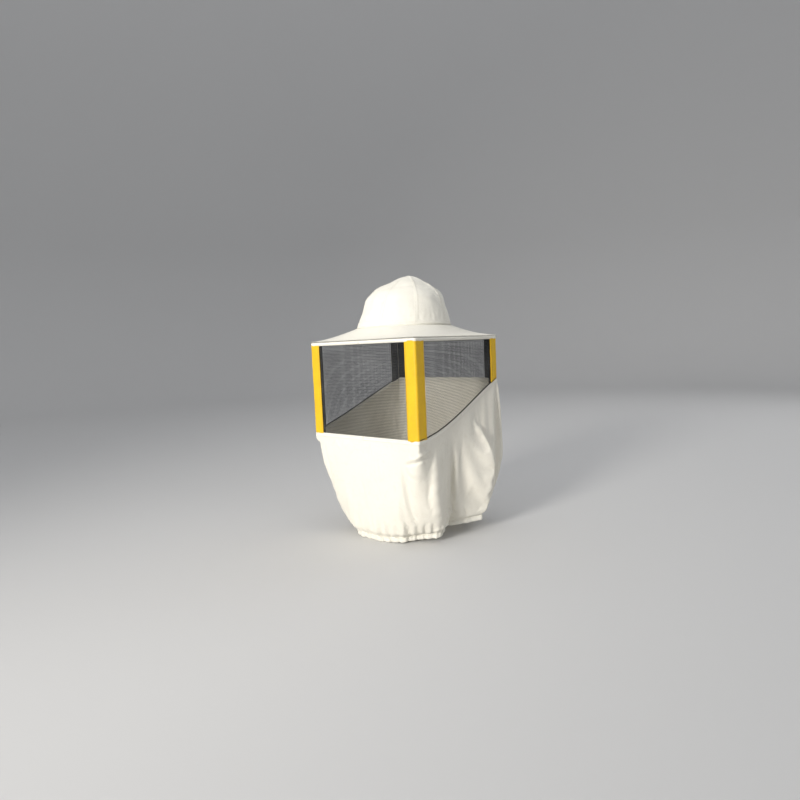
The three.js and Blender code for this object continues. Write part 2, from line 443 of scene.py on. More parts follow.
def cloth_shell(
    name: str,
    outer: Array,
    inner: Array,
    closed: bool = False,
    uv: Array | None = None,
    normals: Array | None = None,
) -> Piece:
    """Makes a closed thin wall from an outer and an inner grid.

    Args:
        name: the object's name.
        outer: rows by columns by 3, with its faces turned outwards.
        inner: the same grid on the inner face.
        closed: True where the last column joins the first.
        uv: rows by columns by 2, in metres along the cloth.
        normals: the outer face's normals, where the wall goes on in another object.

    Returns:
        The object, with a UV map that runs along the cloth.
    """
    rows, columns = outer.shape[:2]
    count = rows * columns
    index = np.arange(count).reshape(rows, columns)
    walls, rims = [], []
    for c in range(columns if closed else columns - 1):
        d = (c + 1) % columns
        for r in range(rows - 1):
            a, b, e, f = index[r, c], index[r + 1, c], index[r + 1, d], index[r, d]
            walls.append((a, b, e, f))
            walls.append((a + count, f + count, e + count, b + count))
        top, under = index[0], index[-1]
        rims.append((top[c], top[d], top[d] + count, top[c] + count))
        rims.append((under[c], under[c] + count, under[d] + count, under[d]))
    if not closed:
        left, right = index[:, 0], index[:, -1]
        for r in range(rows - 1):
            rims.append((left[r], left[r] + count, left[r + 1] + count, left[r + 1]))
            rims.append((right[r], right[r + 1], right[r + 1] + count, right[r] + count))
    faces = [tuple(int(v) for v in face) for face in walls + rims]
    obj = new_object(name, np.concatenate([outer.reshape(-1, 3), inner.reshape(-1, 3)]), faces)
    obj.data.polygons.foreach_set("use_smooth", np.arange(len(faces)) < len(walls))
    flat = (cloth_uv(outer) if uv is None else uv).reshape(-1, 2)
    add_uv(obj, np.concatenate([flat, flat]))
    if normals is not None:
        given = normals.reshape(-1, 3)
        obj.data.normals_split_custom_set_from_vertices(np.concatenate([given, -given]).tolist())
    return obj


def swept_strip(name: str, rings: Array) -> Piece:
    """Makes a closed body through rings of points.

    Args:
        name: the object's name.
        rings: stations by section points by 3.

    Returns:
        The object, with its faces pointing outwards.
    """
    stations, size = rings.shape[:2]
    faces = []
    for s in range(stations - 1):
        for k in range(size):
            a, b = s * size + k, s * size + (k + 1) % size
            faces.append((a, b, b + size, a + size))
    faces.append(tuple(reversed(range(size))))
    faces.append(tuple(range((stations - 1) * size, stations * size)))
    obj = new_object(name, rings, faces)
    turn_outwards(obj.data)
    uv = stack(running(steps(rings[0]))[None, :], running(steps(rings[:, 0]))[:, None])
    add_uv(obj, uv.reshape(-1, 2))
    return obj


def turn_outwards(mesh: bpy.types.Mesh) -> None:
    """Flips a closed mesh's faces if they point inwards.

    Args:
        mesh: the mesh, changed in place.
    """
    mesh.calc_loop_triangles()
    order = np.zeros(len(mesh.loop_triangles) * 3, int)
    mesh.loop_triangles.foreach_get("vertices", order)
    a, b, c = vertices(mesh)[order.reshape(-1, 3)].swapaxes(0, 1)
    if np.einsum("ij,ij->", a, np.cross(b, c)) < 0:
        mesh.flip_normals()


# ---------------------------------------------------------------- node trees


class NodeWriter:
    """Adds nodes to a tree and links them."""

    def __init__(self, tree: Tree) -> None:
        """Starts writing in the given tree."""
        self.tree = tree

    def give(self, socket: Socket, value: Value) -> None:
        """Links or sets an input.

        Args:
            socket: the input.
            value: another node's output, or a constant; a colour has three values.
        """
        if isinstance(value, Socket):
            self.tree.links.new(value, socket)
        else:
            socket.default_value = (*value, 1.0) if socket.type == "RGBA" else value

    def add(
        self, kind: str, inputs: dict[int | str, Value] | None = None, **settings: object
    ) -> bpy.types.Node:
        """Adds a node.

        Args:
            kind: the node's type name.
            inputs: a value or another node's output for each input, by name or place.
            settings: the node's own properties.

        Returns:
            The new node.
        """
        node = self.tree.nodes.new(kind)
        for name, value in settings.items():
            setattr(node, name, value)
        for key, value in (inputs or {}).items():
            self.give(node.inputs[key], value)
        return node

    def math(self, operation: str, *values: Value) -> Socket:
        """Adds a Math node and returns its output."""
        return self.add("ShaderNodeMath", dict(enumerate(values)), operation=operation).outputs[0]

    def vector(self, x: Value = 0.0, y: Value = 0.0, z: Value = 0.0) -> Socket:
        """Joins three numbers and returns the vector."""
        return self.add("ShaderNodeCombineXYZ", {0: x, 1: y, 2: z}).outputs[0]

    def noise(self, place: Socket, scale: Value, detail: float, roughness: float = 0.5) -> bpy.types.Node:
        """Adds a noise texture and returns its node."""
        inputs = {"Vector": place, "Scale": scale, "Detail": detail, "Roughness": roughness}
        return self.add("ShaderNodeTexNoise", inputs)

    def remap(self, value: Socket, low: Value, high: Value, end: str = "From") -> Socket:
        """Maps a value from the range low to high onto 0 to 1, or the other way with end set to To."""
        limits = {f"{end} Min": low, f"{end} Max": high}
        return self.add("ShaderNodeMapRange", {"Value": value, **limits}).outputs[0]


def group_tree(name: str, kind: str, inputs: dict[str, str | float], outputs: dict[str, str]) -> Tree:
    """Makes a node group with named sockets.

    Args:
        name: the group's name.
        kind: ShaderNodeTree or GeometryNodeTree.
        inputs: each input's default number, or its type where it has no default.
        outputs: each output's type.

    Returns:
        The group, with nothing in it yet.
    """
    tree = bpy.data.node_groups.new(name, kind)
    for label, given in inputs.items():
        socket = given if isinstance(given, str) else {int: "Int", float: "Float"}[type(given)]
        item = tree.interface.new_socket(name=label, in_out="INPUT", socket_type=f"NodeSocket{socket}")
        if not isinstance(given, str):
            item.default_value = given
    for label, socket in outputs.items():
        tree.interface.new_socket(name=label, in_out="OUTPUT", socket_type=f"NodeSocket{socket}")
    return tree


def weave_group() -> Tree:
    """Plain weave: crossing threads with uneven thickness.

    Returns:
        A group that gives a height and a tone.
    """
    inputs = {"Vector": "Vector", "Thread Pitch": 0.001}
    tree = group_tree("plain_weave", "ShaderNodeTree", inputs, {"Height": "Float", "Tone": "Float"})
    w = NodeWriter(tree)
    given = w.add("NodeGroupInput").outputs
    slub = w.noise(given["Vector"], 260.0, 2.0).outputs["Fac"]
    blotch = w.noise(given["Vector"], 14.0, 4.0, 0.6).outputs["Fac"]
    rate = w.math("DIVIDE", math.pi, given["Thread Pitch"])
    split = w.add("ShaderNodeSeparateXYZ", {0: given["Vector"]}).outputs
    warp, weft = (w.math("SINE", w.math("MULTIPLY", split[axis], rate)) for axis in (0, 1))
    threads = w.math("ABSOLUTE", w.math("MULTIPLY", warp, weft))
    height = w.math("ADD", threads, w.math("MULTIPLY", slub, 0.8))
    tone = w.math("ADD", w.math("MULTIPLY", blotch, 0.75), w.math("MULTIPLY", slub, 0.25))
    w.add("NodeGroupOutput", {"Height": height, "Tone": tone})
    return tree


def crumple_group() -> Tree:
    """Small pressed-in creases of worn cloth.

    Returns:
        A group that gives a height and a mask of the cloth on one side of each crease, where shade is
        painted.
    """
    inputs = {"Vector": "Vector", "Scale": 20.0}
    tree = group_tree("worn_creases", "ShaderNodeTree", inputs, {"Height": "Float", "Mask": "Float"})
    w = NodeWriter(tree)
    given = w.add("NodeGroupInput").outputs
    bend = w.noise(given["Vector"], 9.0, 3.0).outputs["Color"]
    shifted = w.add("ShaderNodeVectorMath", {0: given["Vector"], 1: bend}, operation="ADD").outputs[0]
    fold = w.noise(shifted, given["Scale"], 5.0, 0.55).outputs["Fac"]
    ridge = w.math("ABSOLUTE", w.math("SUBTRACT", fold, 0.5))
    height = w.math("SUBTRACT", 1.0, w.math("MULTIPLY", ridge, 4.0))
    # Mask: painted shade on one side of each small crease.
    w.add("NodeGroupOutput", {"Height": height, "Mask": w.remap(fold, 0.52, 0.75)})
    return tree


class SharedGroups:
    """Node groups that several materials use, each built once."""

    def __init__(self) -> None:
        """Builds the groups."""
        self.weave = weave_group()
        self.creases = crumple_group()


class MaterialWriter(NodeWriter):
    """Writes one material round a Principled shader."""

    def __init__(self, name: str) -> None:
        """Starts a material.

        Args:
            name: the material's name.
        """
        self.material = bpy.data.materials.new(name)
        self.material.use_nodes = True
        super().__init__(self.material.node_tree)

    def where(self, kind: str) -> Socket:
        """Texture coordinates of a kind, such as Object or UV."""
        return self.add("ShaderNodeTexCoord").outputs[kind]

    def group(self, tree: Tree, inputs: dict[str, Value]) -> bpy.types.NodeOutputs:
        """Adds a shared group and returns its outputs."""
        return self.add("ShaderNodeGroup", inputs, node_tree=tree).outputs

    def mix(self, factor: Value, low: Value, high: Value) -> Socket:
        """Mixes two colours."""
        return self.add("ShaderNodeMix", {0: factor, 6: low, 7: high}, data_type="RGBA").outputs[2]

    def relief(self, height: Socket, strength: float, depth: float, below: Socket | None = None) -> Socket:
        """Makes normals from a height.

        Args:
            height: the height's output.
            strength: how strongly it shades.
            depth: height of the relief, in metres.
            below: normals of a coarser relief that it lies on.

        Returns:
            The normals.
        """
        node = self.add("ShaderNodeBump", {"Height": height, "Strength": strength, "Distance": depth})
        if below is not None:
            self.give(node.inputs["Normal"], below)
        return node.outputs[0]

    def finish(self, inputs: dict[str, Value]) -> Material:
        """Sets the shader's inputs.

        Args:
            inputs: values by the inputs' names.

        Returns:
            The finished material.
        """
        for key, value in inputs.items():
            self.give(self.tree.nodes["Principled BSDF"].inputs[key], value)
        return self.material


# ---------------------------------------------------------------- finishes


@dataclass(frozen=True)
class ClothFinish:
    """A woven cloth.

    Attributes:
        name: the material's name.
        colour: clean cloth.
        soil_and_crease_shade: darker cloth colour, mixed in as painted shade on one side of each small crease
            and as the weave's uneven tone.
        thread_pitch: distance between threads, in metres.
        weave_depth: height of the weave's relief, in metres.
        crease_depth: height of the small creases, in metres.
        crease_scale: creases for each metre, roughly.
        roughness: surface roughness.
        sheen: weight of the fibres' sheen.
        soil_and_shade_share: strongest share of the darker colour, for the painted crease shade and the
            uneven tone.
    """

    name: str
    colour: Colour
    soil_and_crease_shade: Colour = (0.66, 0.60, 0.48)
    thread_pitch: float = 0.9 * MM
    weave_depth: float = 0.10 * MM
    crease_depth: float = 0.5 * MM
    crease_scale: float = 22.0
    roughness: float = 0.9
    sheen: float = 0.12
    soil_and_shade_share: float = 0.3

    def make(self, groups: SharedGroups) -> Material:
        """Builds the material.

        Args:
            groups: the shared node groups.

        Returns:
            The material.
        """
        w = MaterialWriter(self.name)
        weave = w.group(groups.weave, {"Vector": w.where("UV"), "Thread Pitch": self.thread_pitch})
        creases = w.group(groups.creases, {"Vector": w.where("Object"), "Scale": self.crease_scale})
        # Painted shade: the crease mask darkens one side of each small crease towards the darker cloth
        # colour; the weave's tone adds uneven real tone.
        crease_shade = w.math("MULTIPLY", creases["Mask"], self.soil_and_shade_share * 0.5)
        toned = w.math("MULTIPLY", w.math("SUBTRACT", weave["Tone"], 0.4), self.soil_and_shade_share)
        share = w.add("ShaderNodeMath", {0: crease_shade, 1: toned}, operation="ADD", use_clamp=True).outputs[0]
        coarse = w.relief(creases["Height"], 0.35, self.crease_depth)
        return w.finish({
            "Base Color": w.mix(share, self.colour, self.soil_and_crease_shade),
            "Roughness": self.roughness,
            "Sheen Weight": self.sheen,
            "Sheen Roughness": 0.5,
            "Specular IOR Level": 0.25,
            "Normal": w.relief(weave["Height"], 0.6, self.weave_depth, coarse),
        })


@dataclass(frozen=True)
class TapeFinish:
    """A ribbed woven tape.

    Attributes:
        name: the material's name.
        colour: the ribs' tops.
        groove_shade: darker colour between the ribs, painted shade in the grooves.
        rib_pitch: distance between ribs, in metres.
        roughness: surface roughness.
        coat: weight of the smooth coating.
    """

    name: str
    colour: Colour
    groove_shade: Colour
    rib_pitch: float = 1.5 * MM
    roughness: float = 0.55
    coat: float = 0.15

    def make(self, groups: SharedGroups) -> Material:
        """Builds the material.

        Args:
            groups: the shared node groups.

        Returns:
            The material.
        """
        w = MaterialWriter(self.name)
        along = w.where("UV")
        across = w.add("ShaderNodeSeparateXYZ", {0: along}).outputs[0]
        ribs = w.math("SINE", w.math("MULTIPLY", across, 2 * math.pi / self.rib_pitch))
        weave = w.group(groups.weave, {"Vector": along, "Thread Pitch": self.rib_pitch * 0.5})
        height = w.math("ADD", w.math("MULTIPLY", ribs, 0.5), weave["Height"])
        wear = w.noise(w.where("Object"), 38.0, 4.0).outputs["Fac"]
        # Painted shade: the grooves between the ribs darken towards the groove colour, while the rib tops
        # keep the tape's colour; the wear noise breaks it up.
        worn = w.math("MULTIPLY", w.remap(height, -0.4, 1.1), w.math("ADD", wear, 0.45))
        return w.finish({
            "Base Color": w.mix(worn, self.groove_shade, self.colour),
            "Roughness": w.remap(wear, self.roughness - 0.1, self.roughness + 0.15, "To"),
            "Coat Weight": self.coat,
            "Coat Roughness": 0.4,
            "Normal": w.relief(height, 0.5, 0.15 * MM),
        })


@dataclass(frozen=True)
class WireFinish:
    """Painted steel wire with dull, slightly worn paint.

    Attributes:
        name: the material's name.
        paint: the paint's colour.
        worn: where the paint has thinned.
        roughness: surface roughness.
        metallic: metallic share.
    """

    name: str
    paint: Colour
    worn: Colour
    roughness: float = 0.42
    metallic: float = 0.35

    def make(self) -> Material:
        """Builds the material.

        Returns:
            The material.
        """
        w = MaterialWriter(self.name)
        fine = w.noise(w.where("Object"), 420.0, 3.0).outputs["Fac"]
        broad = w.noise(w.where("Object"), 16.0, 2.0).outputs["Fac"]
        thin = w.remap(w.math("MULTIPLY", fine, broad), 0.18, 0.42)
        return w.finish({
            "Base Color": w.mix(thin, self.paint, self.worn),
            "Roughness": w.remap(fine, self.roughness - 0.12, self.roughness + 0.2, "To"),
            "Metallic": self.metallic,
            "Normal": w.relief(fine, 0.3, 0.03 * MM),
        })


@dataclass(frozen=True)
class ThreadFinish:
    """Twisted sewing thread.

    Attributes:
        name: the material's name.
        colour: the thread.
        shadow: the twist's grooves.
    """

    name: str
    colour: Colour
    shadow: Colour

    def make(self) -> Material:
        """Builds the material.

        Returns:
            The material.
        """
        w = MaterialWriter(self.name)
        twist = w.noise(w.where("Object"), 1400.0, 2.0).outputs["Fac"]
        colour = w.mix(twist, self.shadow, self.colour)
        return w.finish({"Base Color": colour, "Roughness": 0.7, "Normal": w.relief(twist, 0.3, 0.05 * MM)})


class Finishes:
    """All materials of the veil, built once."""

    def __init__(self) -> None:
        """Builds the materials."""
        groups = SharedGroups()
        # Each cloth's darker second colour is painted shade in its small creases as well as its uneven tone.
        skirt = ClothFinish("white_cotton", (0.86, 0.83, 0.74), soil_and_shade_share=0.35)
        crown = ClothFinish(
            "hat_cotton", (0.87, 0.85, 0.77), crease_depth=0.4 * MM, crease_scale=16.0, soil_and_shade_share=0.25
        )
        brim = ClothFinish("brim_cotton", (0.86, 0.84, 0.76), crease_depth=0.25 * MM)
        binding = ClothFinish(
            "cotton_binding", (0.88, 0.86, 0.78), thread_pitch=0.6 * MM, crease_depth=0.3 * MM
        )
        sweatband = ClothFinish(
            "sweatband_twill", (0.62, 0.55, 0.42), (0.45, 0.38, 0.27), thread_pitch=0.7 * MM, soil_and_shade_share=0.6
        )
        # The second colour of each tape is painted shade between its ribs.
        yellow = TapeFinish("yellow_tape", (0.90, 0.58, 0.004), (0.64, 0.32, 0.002))
        black = TapeFinish("black_tape", (0.02, 0.02, 0.018), (0.006, 0.006, 0.005), roughness=0.75, coat=0.0)
        self.skirt, self.crown, self.brim = (cloth.make(groups) for cloth in (skirt, crown, brim))
        self.binding, self.sweatband = binding.make(groups), sweatband.make(groups)
        self.yellow, self.black = yellow.make(groups), black.make(groups)
        self.wire = WireFinish("painted_wire", (0.045, 0.048, 0.052), (0.20, 0.205, 0.21)).make()
        self.white_thread = ThreadFinish("white_thread", (0.84, 0.81, 0.72), (0.55, 0.51, 0.42)).make()
        self.yellow_thread = ThreadFinish("yellow_thread", (0.78, 0.50, 0.02), (0.42, 0.22, 0.01)).make()


# ---------------------------------------------------------------- repeated parts


def wire_tree() -> Tree:
    """Woven wire mesh in a side's own frame, kept inside the outline it is given.

    Returns:
        The geometry tree.
    """
    inputs = {
        "Outline": "Geometry",
        "Pitch": 0.003,
        "Columns": 90,
        "Rows": 60,
        "Plane": 0.0,
        "Top": 0.0,
        "Wire Radius": 0.0003,
        "Turn": 0.0,
        "Material": "Material",
    }
    tree = group_tree("woven_wire", "GeometryNodeTree", inputs, {"Mesh": "Geometry"})
    w = NodeWriter(tree)
    given = w.add("NodeGroupInput").outputs
    pitch, columns, rows = given["Pitch"], given["Columns"], given["Rows"]
    width, height = (w.math("MULTIPLY", w.math("SUBTRACT", count, 1.0), pitch) for count in (columns, rows))
    left = w.math("MULTIPLY", width, -0.5)
    start = w.vector(left, given["Plane"], given["Top"])
    place = w.add("GeometryNodeInputPosition").outputs[0]
    split = w.add("ShaderNodeSeparateXYZ", {0: place}).outputs
    rate = w.math("DIVIDE", math.pi, pitch)
    phase_x = w.math("COSINE", w.math("MULTIPLY", w.math("SUBTRACT", split[0], left), rate))
    phase_z = w.math("COSINE", w.math("MULTIPLY", w.math("SUBTRACT", split[2], given["Top"]), rate))
    crimp = w.math("MULTIPLY", w.math("MULTIPLY", phase_x, phase_z), given["Wire Radius"])
    far = w.add("GeometryNodeProximity", {0: given["Outline"]}, target_element="FACES")
    outside = w.math("GREATER_THAN", far.outputs["Distance"], 0.0002)
    down, full_drop = (w.vector(z=w.math("MULTIPLY", size, -1.0)) for size in (pitch, height))
    across, full_width = w.vector(pitch), w.vector(width)
    both = w.add("GeometryNodeJoinGeometry")
    for count, step, end, points, sign in (
        (columns, across, full_drop, rows, 1.0), (rows, down, full_width, columns, -1.0)
    ):
        line = w.add("GeometryNodeMeshLine", {"Count": count, "Start Location": start, "Offset": step})
        wire = w.add("GeometryNodeCurvePrimitiveLine", {"Start": (0.0, 0.0, 0.0), "End": end})
        placed = {"Points": line.outputs[0], "Instance": wire.outputs[0]}
        copies = w.add("GeometryNodeInstanceOnPoints", placed)
        real = w.add("GeometryNodeRealizeInstances", {0: copies.outputs[0]})
        fine = w.add("GeometryNodeResampleCurve", {"Curve": real.outputs[0], "Count": points})
        cut = w.add("GeometryNodeDeleteGeometry", {0: fine.outputs[0], 1: outside}, domain="POINT")
        bend = w.vector(y=w.math("MULTIPLY", crimp, sign))
        bent = w.add("GeometryNodeSetPosition", {"Geometry": cut.outputs[0], "Offset": bend})
        w.give(both.inputs[0], bent.outputs[0])
    ring = w.add("GeometryNodeCurvePrimitiveCircle", {"Resolution": 4, "Radius": given["Wire Radius"]})
    profile = {"Curve": both.outputs[0], "Profile Curve": ring.outputs[0], "Fill Caps": True}
    solid = w.add("GeometryNodeCurveToMesh", profile)
    spin_z = w.vector(z=given["Turn"])
    turned = w.add("GeometryNodeTransform", {"Geometry": solid.outputs[0], "Rotation": spin_z})
    finish_tree(w, turned.outputs[0], given["Material"])
    return tree


def stitch_tree() -> Tree:
    """A row of short stitches along each line it is given.

    Returns:
        The geometry tree.
    """
    inputs = {"Lines": "Geometry", "Pitch": 0.003, "Length": 0.0022, "Radius": 0.0004, "Material": "Material"}
    tree = group_tree("stitch_row", "GeometryNodeTree", inputs, {"Mesh": "Geometry"})
    w = NodeWriter(tree)
    given = w.add("NodeGroupInput").outputs
    curve = w.add("GeometryNodeMeshToCurve", {0: given["Lines"]}).outputs[0]
    spaced = w.add("GeometryNodeResampleCurve", {"Curve": curve, "Length": given["Pitch"]}, mode="LENGTH")
    bead = w.add("GeometryNodeMeshUVSphere", {"Segments": 6, "Rings": 4, "Radius": 1.0})
    tangent = w.add("GeometryNodeInputTangent").outputs[0]
    aim = w.add("FunctionNodeAlignRotationToVector", {"Vector": tangent}, axis="X")
    copies = w.add("GeometryNodeInstanceOnPoints", {
        "Points": spaced.outputs[0],
        "Instance": bead.outputs[0],
        "Rotation": aim.outputs[0],
        "Scale": w.vector(w.math("MULTIPLY", given["Length"], 0.5), given["Radius"], given["Radius"]),
    })
    finish_tree(w, copies.outputs[0], given["Material"])
    return tree


def finish_tree(w: NodeWriter, geometry: Socket, material: Socket) -> None:
    """Ends a geometry tree: real, smooth mesh with its material.

    Args:
        w: the tree's writer.
        geometry: the geometry so far.
        material: the tree's material input.
    """
    real = w.add("GeometryNodeRealizeInstances", {0: geometry})
    smooth = w.add("GeometryNodeSetShadeSmooth", {0: real.outputs[0]})
    dressed = w.add("GeometryNodeSetMaterial", {"Geometry": smooth.outputs[0], "Material": material})
    w.add("NodeGroupOutput", {0: dressed.outputs[0]})


def run_tree(obj: Piece, tree: Tree, values: dict[str, Value]) -> None:
    """Runs a geometry tree on an object and keeps the result as its mesh.

    Args:
        obj: the object, with the tree's input geometry as its mesh.
        tree: the tree.
        values: the tree's other inputs, by name.
    """
    modifier = obj.modifiers.new(tree.name, "NODES")
    modifier.node_group = tree
    sockets = {s.name: s.identifier for s in tree.interface.items_tree if s.in_out == "INPUT"}
    for label, value in values.items():
        modifier[sockets[label]] = value
    bpy.context.view_layer.update()
    graph = bpy.context.evaluated_depsgraph_get()
    made = bpy.data.meshes.new_from_object(
        obj.evaluated_get(graph), preserve_all_data_layers=True, depsgraph=graph
    )
    obj.modifiers.remove(modifier)
    obj.data = made


def dress(obj: Piece, material: Material) -> None:
    """Gives a piece its material.

    Args:
        obj: the piece.
        material: used where its mesh has none yet.
    """
    if not obj.data.materials:
        obj.data.materials.append(material)


@dataclass(frozen=True)
class Stitching:
    """Rows of machine stitches.

    Attributes:
        tree: the stitch tree.
        pitch: distance between stitches.
        length: visible length of a stitch.
        radius: the thread's radius.
        lift: how far the thread's middle lies off the cloth.
    """

    tree: Tree
    pitch: float = 3.2 * MM
    length: float = 2.3 * MM
    radius: float = 0.38 * MM
    lift: float = 0.1 * MM

    def sew(self, name: str, lines: Iterable[Array], thread: Material, slot: str) -> Piece:
        """Makes the stitches along lines of points.

        Args:
            name: the piece's name.
            lines: places on each row of stitches, in order.
            thread: the thread's material.
            slot: not used.

        Returns:
            One piece with all the stitches.
        """
        points, edges = [], []
        for line in lines:
            first = len(points)
            points.extend(line.tolist())
            edges.extend((first + i, first + i + 1) for i in range(len(line) - 1))
        obj = new_object(name, points, edges=edges)
        values = {"Pitch": self.pitch, "Length": self.length, "Radius": self.radius, "Material": thread}
        run_tree(obj, self.tree, values)
        dress(obj, thread)
        return obj


# ---------------------------------------------------------------- outline of the box


@dataclass(frozen=True)
class Stations:
    """Places along a stretch of the box's outline.

    Attributes:
        base: points on the hinge plane, stations by 2.
        normal: outward directions, stations by 2.
        edge: height of the mesh's lower end at each station.
    """

    base: Array
    normal: Array
    edge: Array

    def points(self, out: Array | float, z: Array) -> Array:
        """Places off the hinge plane.

        Args:
            out: distance outwards from the hinge plane.
            z: heights, with the stations last.

        Returns:
            The points.
        """
        flat = self.base + self.normal * np.broadcast_to(out, z.shape)[..., None]
        return np.concatenate([flat, z[..., None]], -1)

    def rings(self, out: Array, z: Array) -> Array:
        """Sections across the stretch, from outward distances and heights round each section."""
        flat = self.base[:, None, :] + self.normal[:, None, :] * out[None, :, None]
        return np.concatenate([flat, z[..., None]], -1)


@dataclass(frozen=True)
class Stretch:
    """A stretch of the box's outline that one set of pieces covers.

    Attributes:
        name: used in the pieces' names.
        legs: each side with the ends of its part, in the side's own frame.
        corner: the hinged corner it goes round, if any.
        open_end: 1 where its high end is at the open corner, -1 where its low end is.
        open_turn: how far its open end turns round the corner, in degrees.
        fan: how many steps a piece takes round a corner.
    """

    name: str
    legs: tuple[tuple[Side, float, float], ...]
    corner: Corner | None = None
    open_end: int = 0
    open_turn: float = 43
    fan: int = 8

    def nodes(self, *kinds: str) -> list[str]:
        """CAD nodes of the given kinds on the stretch's sides."""
        return [side.node(kind) for side, _, _ in self.legs for kind in kinds]

    def stations(self, veil: VeilFrame, step: float) -> Stations:
        """Samples the stretch, turning round the hinge at its corner.

        Args:
            veil: the places read from the frame.
            step: distance between stations.

        Returns:
            The stations.
        """
        base, normal, edge = [], [], []
        for number, (side, low, high) in enumerate(self.legs):
            if number:
                first = self.legs[0][0].turn
                turns = np.linspace(first, first + math.pi / 2, self.fan + 1)[1:-1]
                base.extend([base[-1]] * len(turns))
                normal.extend((math.sin(t), -math.cos(t)) for t in turns)
                edge.extend([edge[-1]] * len(turns))
            x = np.linspace(low, high, max(2, round((high - low) / step) + 1))
            base.extend(tuple(p[:2]) for p in side.place(stack(x, -veil.hinge, 0.0)))
            normal.extend([tuple(side.out[:2])] * len(x))
            edge.extend(veil.edges[side].mesh_end(x))
        if self.open_end:
            share = np.linspace(0, self.open_turn, self.fan // 2 + 1)[1:]
            turns = side.turn + self.open_end * np.radians(share)
            arc = [(math.sin(t), -math.cos(t)) for t in turns]
            at = -1 if self.open_end > 0 else 0
            spot, height = [base[at]] * len(arc), [edge[at]] * len(arc)
            if self.open_end > 0:
                base, normal, edge = base + spot, normal + arc, edge + height
            else:
                base, normal, edge = spot + base, arc[::-1] + normal, height + edge
        return Stations(np.array(base), np.array(normal), np.array(edge))

    def attach(self, obj: Piece, veil: VeilFrame, spread: float = 4 * MM) -> None:
        """Makes a piece follow the stretch's side; a piece at a hinged corner only has its transform baked
        into its mesh.

        Args:
            obj: the piece.
            veil: the places read from the frame.
            spread: not used.
        """
        if self.corner is None:
            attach(obj, self.legs[0][0].body)
            return
        before, after = self.corner.before, self.corner.after
        hinge = before.place(np.array([veil.hinge, -veil.hinge, 0.0]))
        across = before.place(np.array([spread, spread, 0.0])) * math.sqrt(0.5)
        before.body
        after.body
        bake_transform(obj)


def stretches(veil: VeilFrame, reach: float, gap: float = 0.3 * MM) -> list[Stretch]:
    """The stretches that start and end at the given distance from each corner.

    Args:
        veil: the places read from the frame.
        reach: length of each leg, measured from the corner's hinge.
        gap: clearance at the open corner.

    Returns:
        One stretch for each hinged corner, and two for the open one.
    """
    q, made = veil.hinge, []
    for corner in CORNERS:
        before, after = corner.before, corner.after
        if corner.hinged:
            legs = ((before, q - reach, q), (after, -q, reach - q))
            made.append(Stretch(f"{before.value}_{after.value}", legs, corner))
        else:
            made.append(Stretch(f"{before.value}_end", ((before, q - reach, q - gap),), open_end=1))
            made.append(Stretch(f"{after.value}_end", ((after, gap - q, reach - q),), open_end=-1))
    return made


def flatten(obj: Piece, side: Side, veil: VeilFrame, keep: float) -> None:
    """Gives a piece its own copy of its mesh.

    Args:
        obj: the piece, which rides on that side.
        side: the side.
        veil: the places read from the frame.
        keep: not used.
    """
    side.fold_joint
    tuple(side.out)
    tuple(side.out * veil.half)
    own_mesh(obj)


# ---------------------------------------------------------------- sub-assemblies


@dataclass
class SubAssembly:
    """What every sub-assembly is built from.

    Attributes:
        veil: the places read from the frame.
        finishes: the materials.
        stitching: makes the rows of stitches.
    """

    veil: VeilFrame
    finishes: Finishes
    stitching: Stitching


@dataclass
class MeshPanels(SubAssembly):
    """The four panels of woven wire."""

    pitch: float = 3.1 * MM
    wire_radius: float = 0.3 * MM
    bury: float = 4 * MM
    top_drop: float = 2 * MM

    def build(self) -> None:
        """Builds every side's panel."""
        tree = wire_tree()
        for side in Side:
            self.panel(side, tree)

    def panel(self, side: Side, tree: Tree) -> None:
        """Builds one side's panel between its bindings and tapes.

        Args:
            side: the side.
            tree: the wire tree.
        """
        corners = side.local(np.array(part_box(side.node("mesh"))))
        reach = np.abs(corners[:, 0]).max()
        plane = float(corners[:, 1].mean())
        top = float(self.veil.rim_z - self.top_drop)
        edge = self.veil.edges[side]
        lower = edge.mesh_z - self.bury
        x = np.clip(edge.x, -reach, reach)
        ring = np.concatenate([stack(x, plane, lower), stack(x, plane, top)[::-1]])
        count = len(x)
        faces = [(i, i + 1, 2 * count - 2 - i, 2 * count - 1 - i) for i in range(count - 1)]
        panel = new_object(f"{side.value}_wire_mesh", ring, faces)
        run_tree(panel, tree, {
            "Pitch": self.pitch,
            "Columns": int(2 * reach / self.pitch),
            "Rows": int((top - lower.min()) / self.pitch) + 2,
            "Plane": plane,
            "Top": top,
            "Wire Radius": self.wire_radius,
            "Turn": side.turn,
            "Material": self.finishes.wire,
        })
        dress(panel, self.finishes.wire)
        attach(panel, side.body)
        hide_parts(side.node("mesh"))
        LOG.info("wire mesh %s: %d faces", side.value, len(panel.data.polygons))


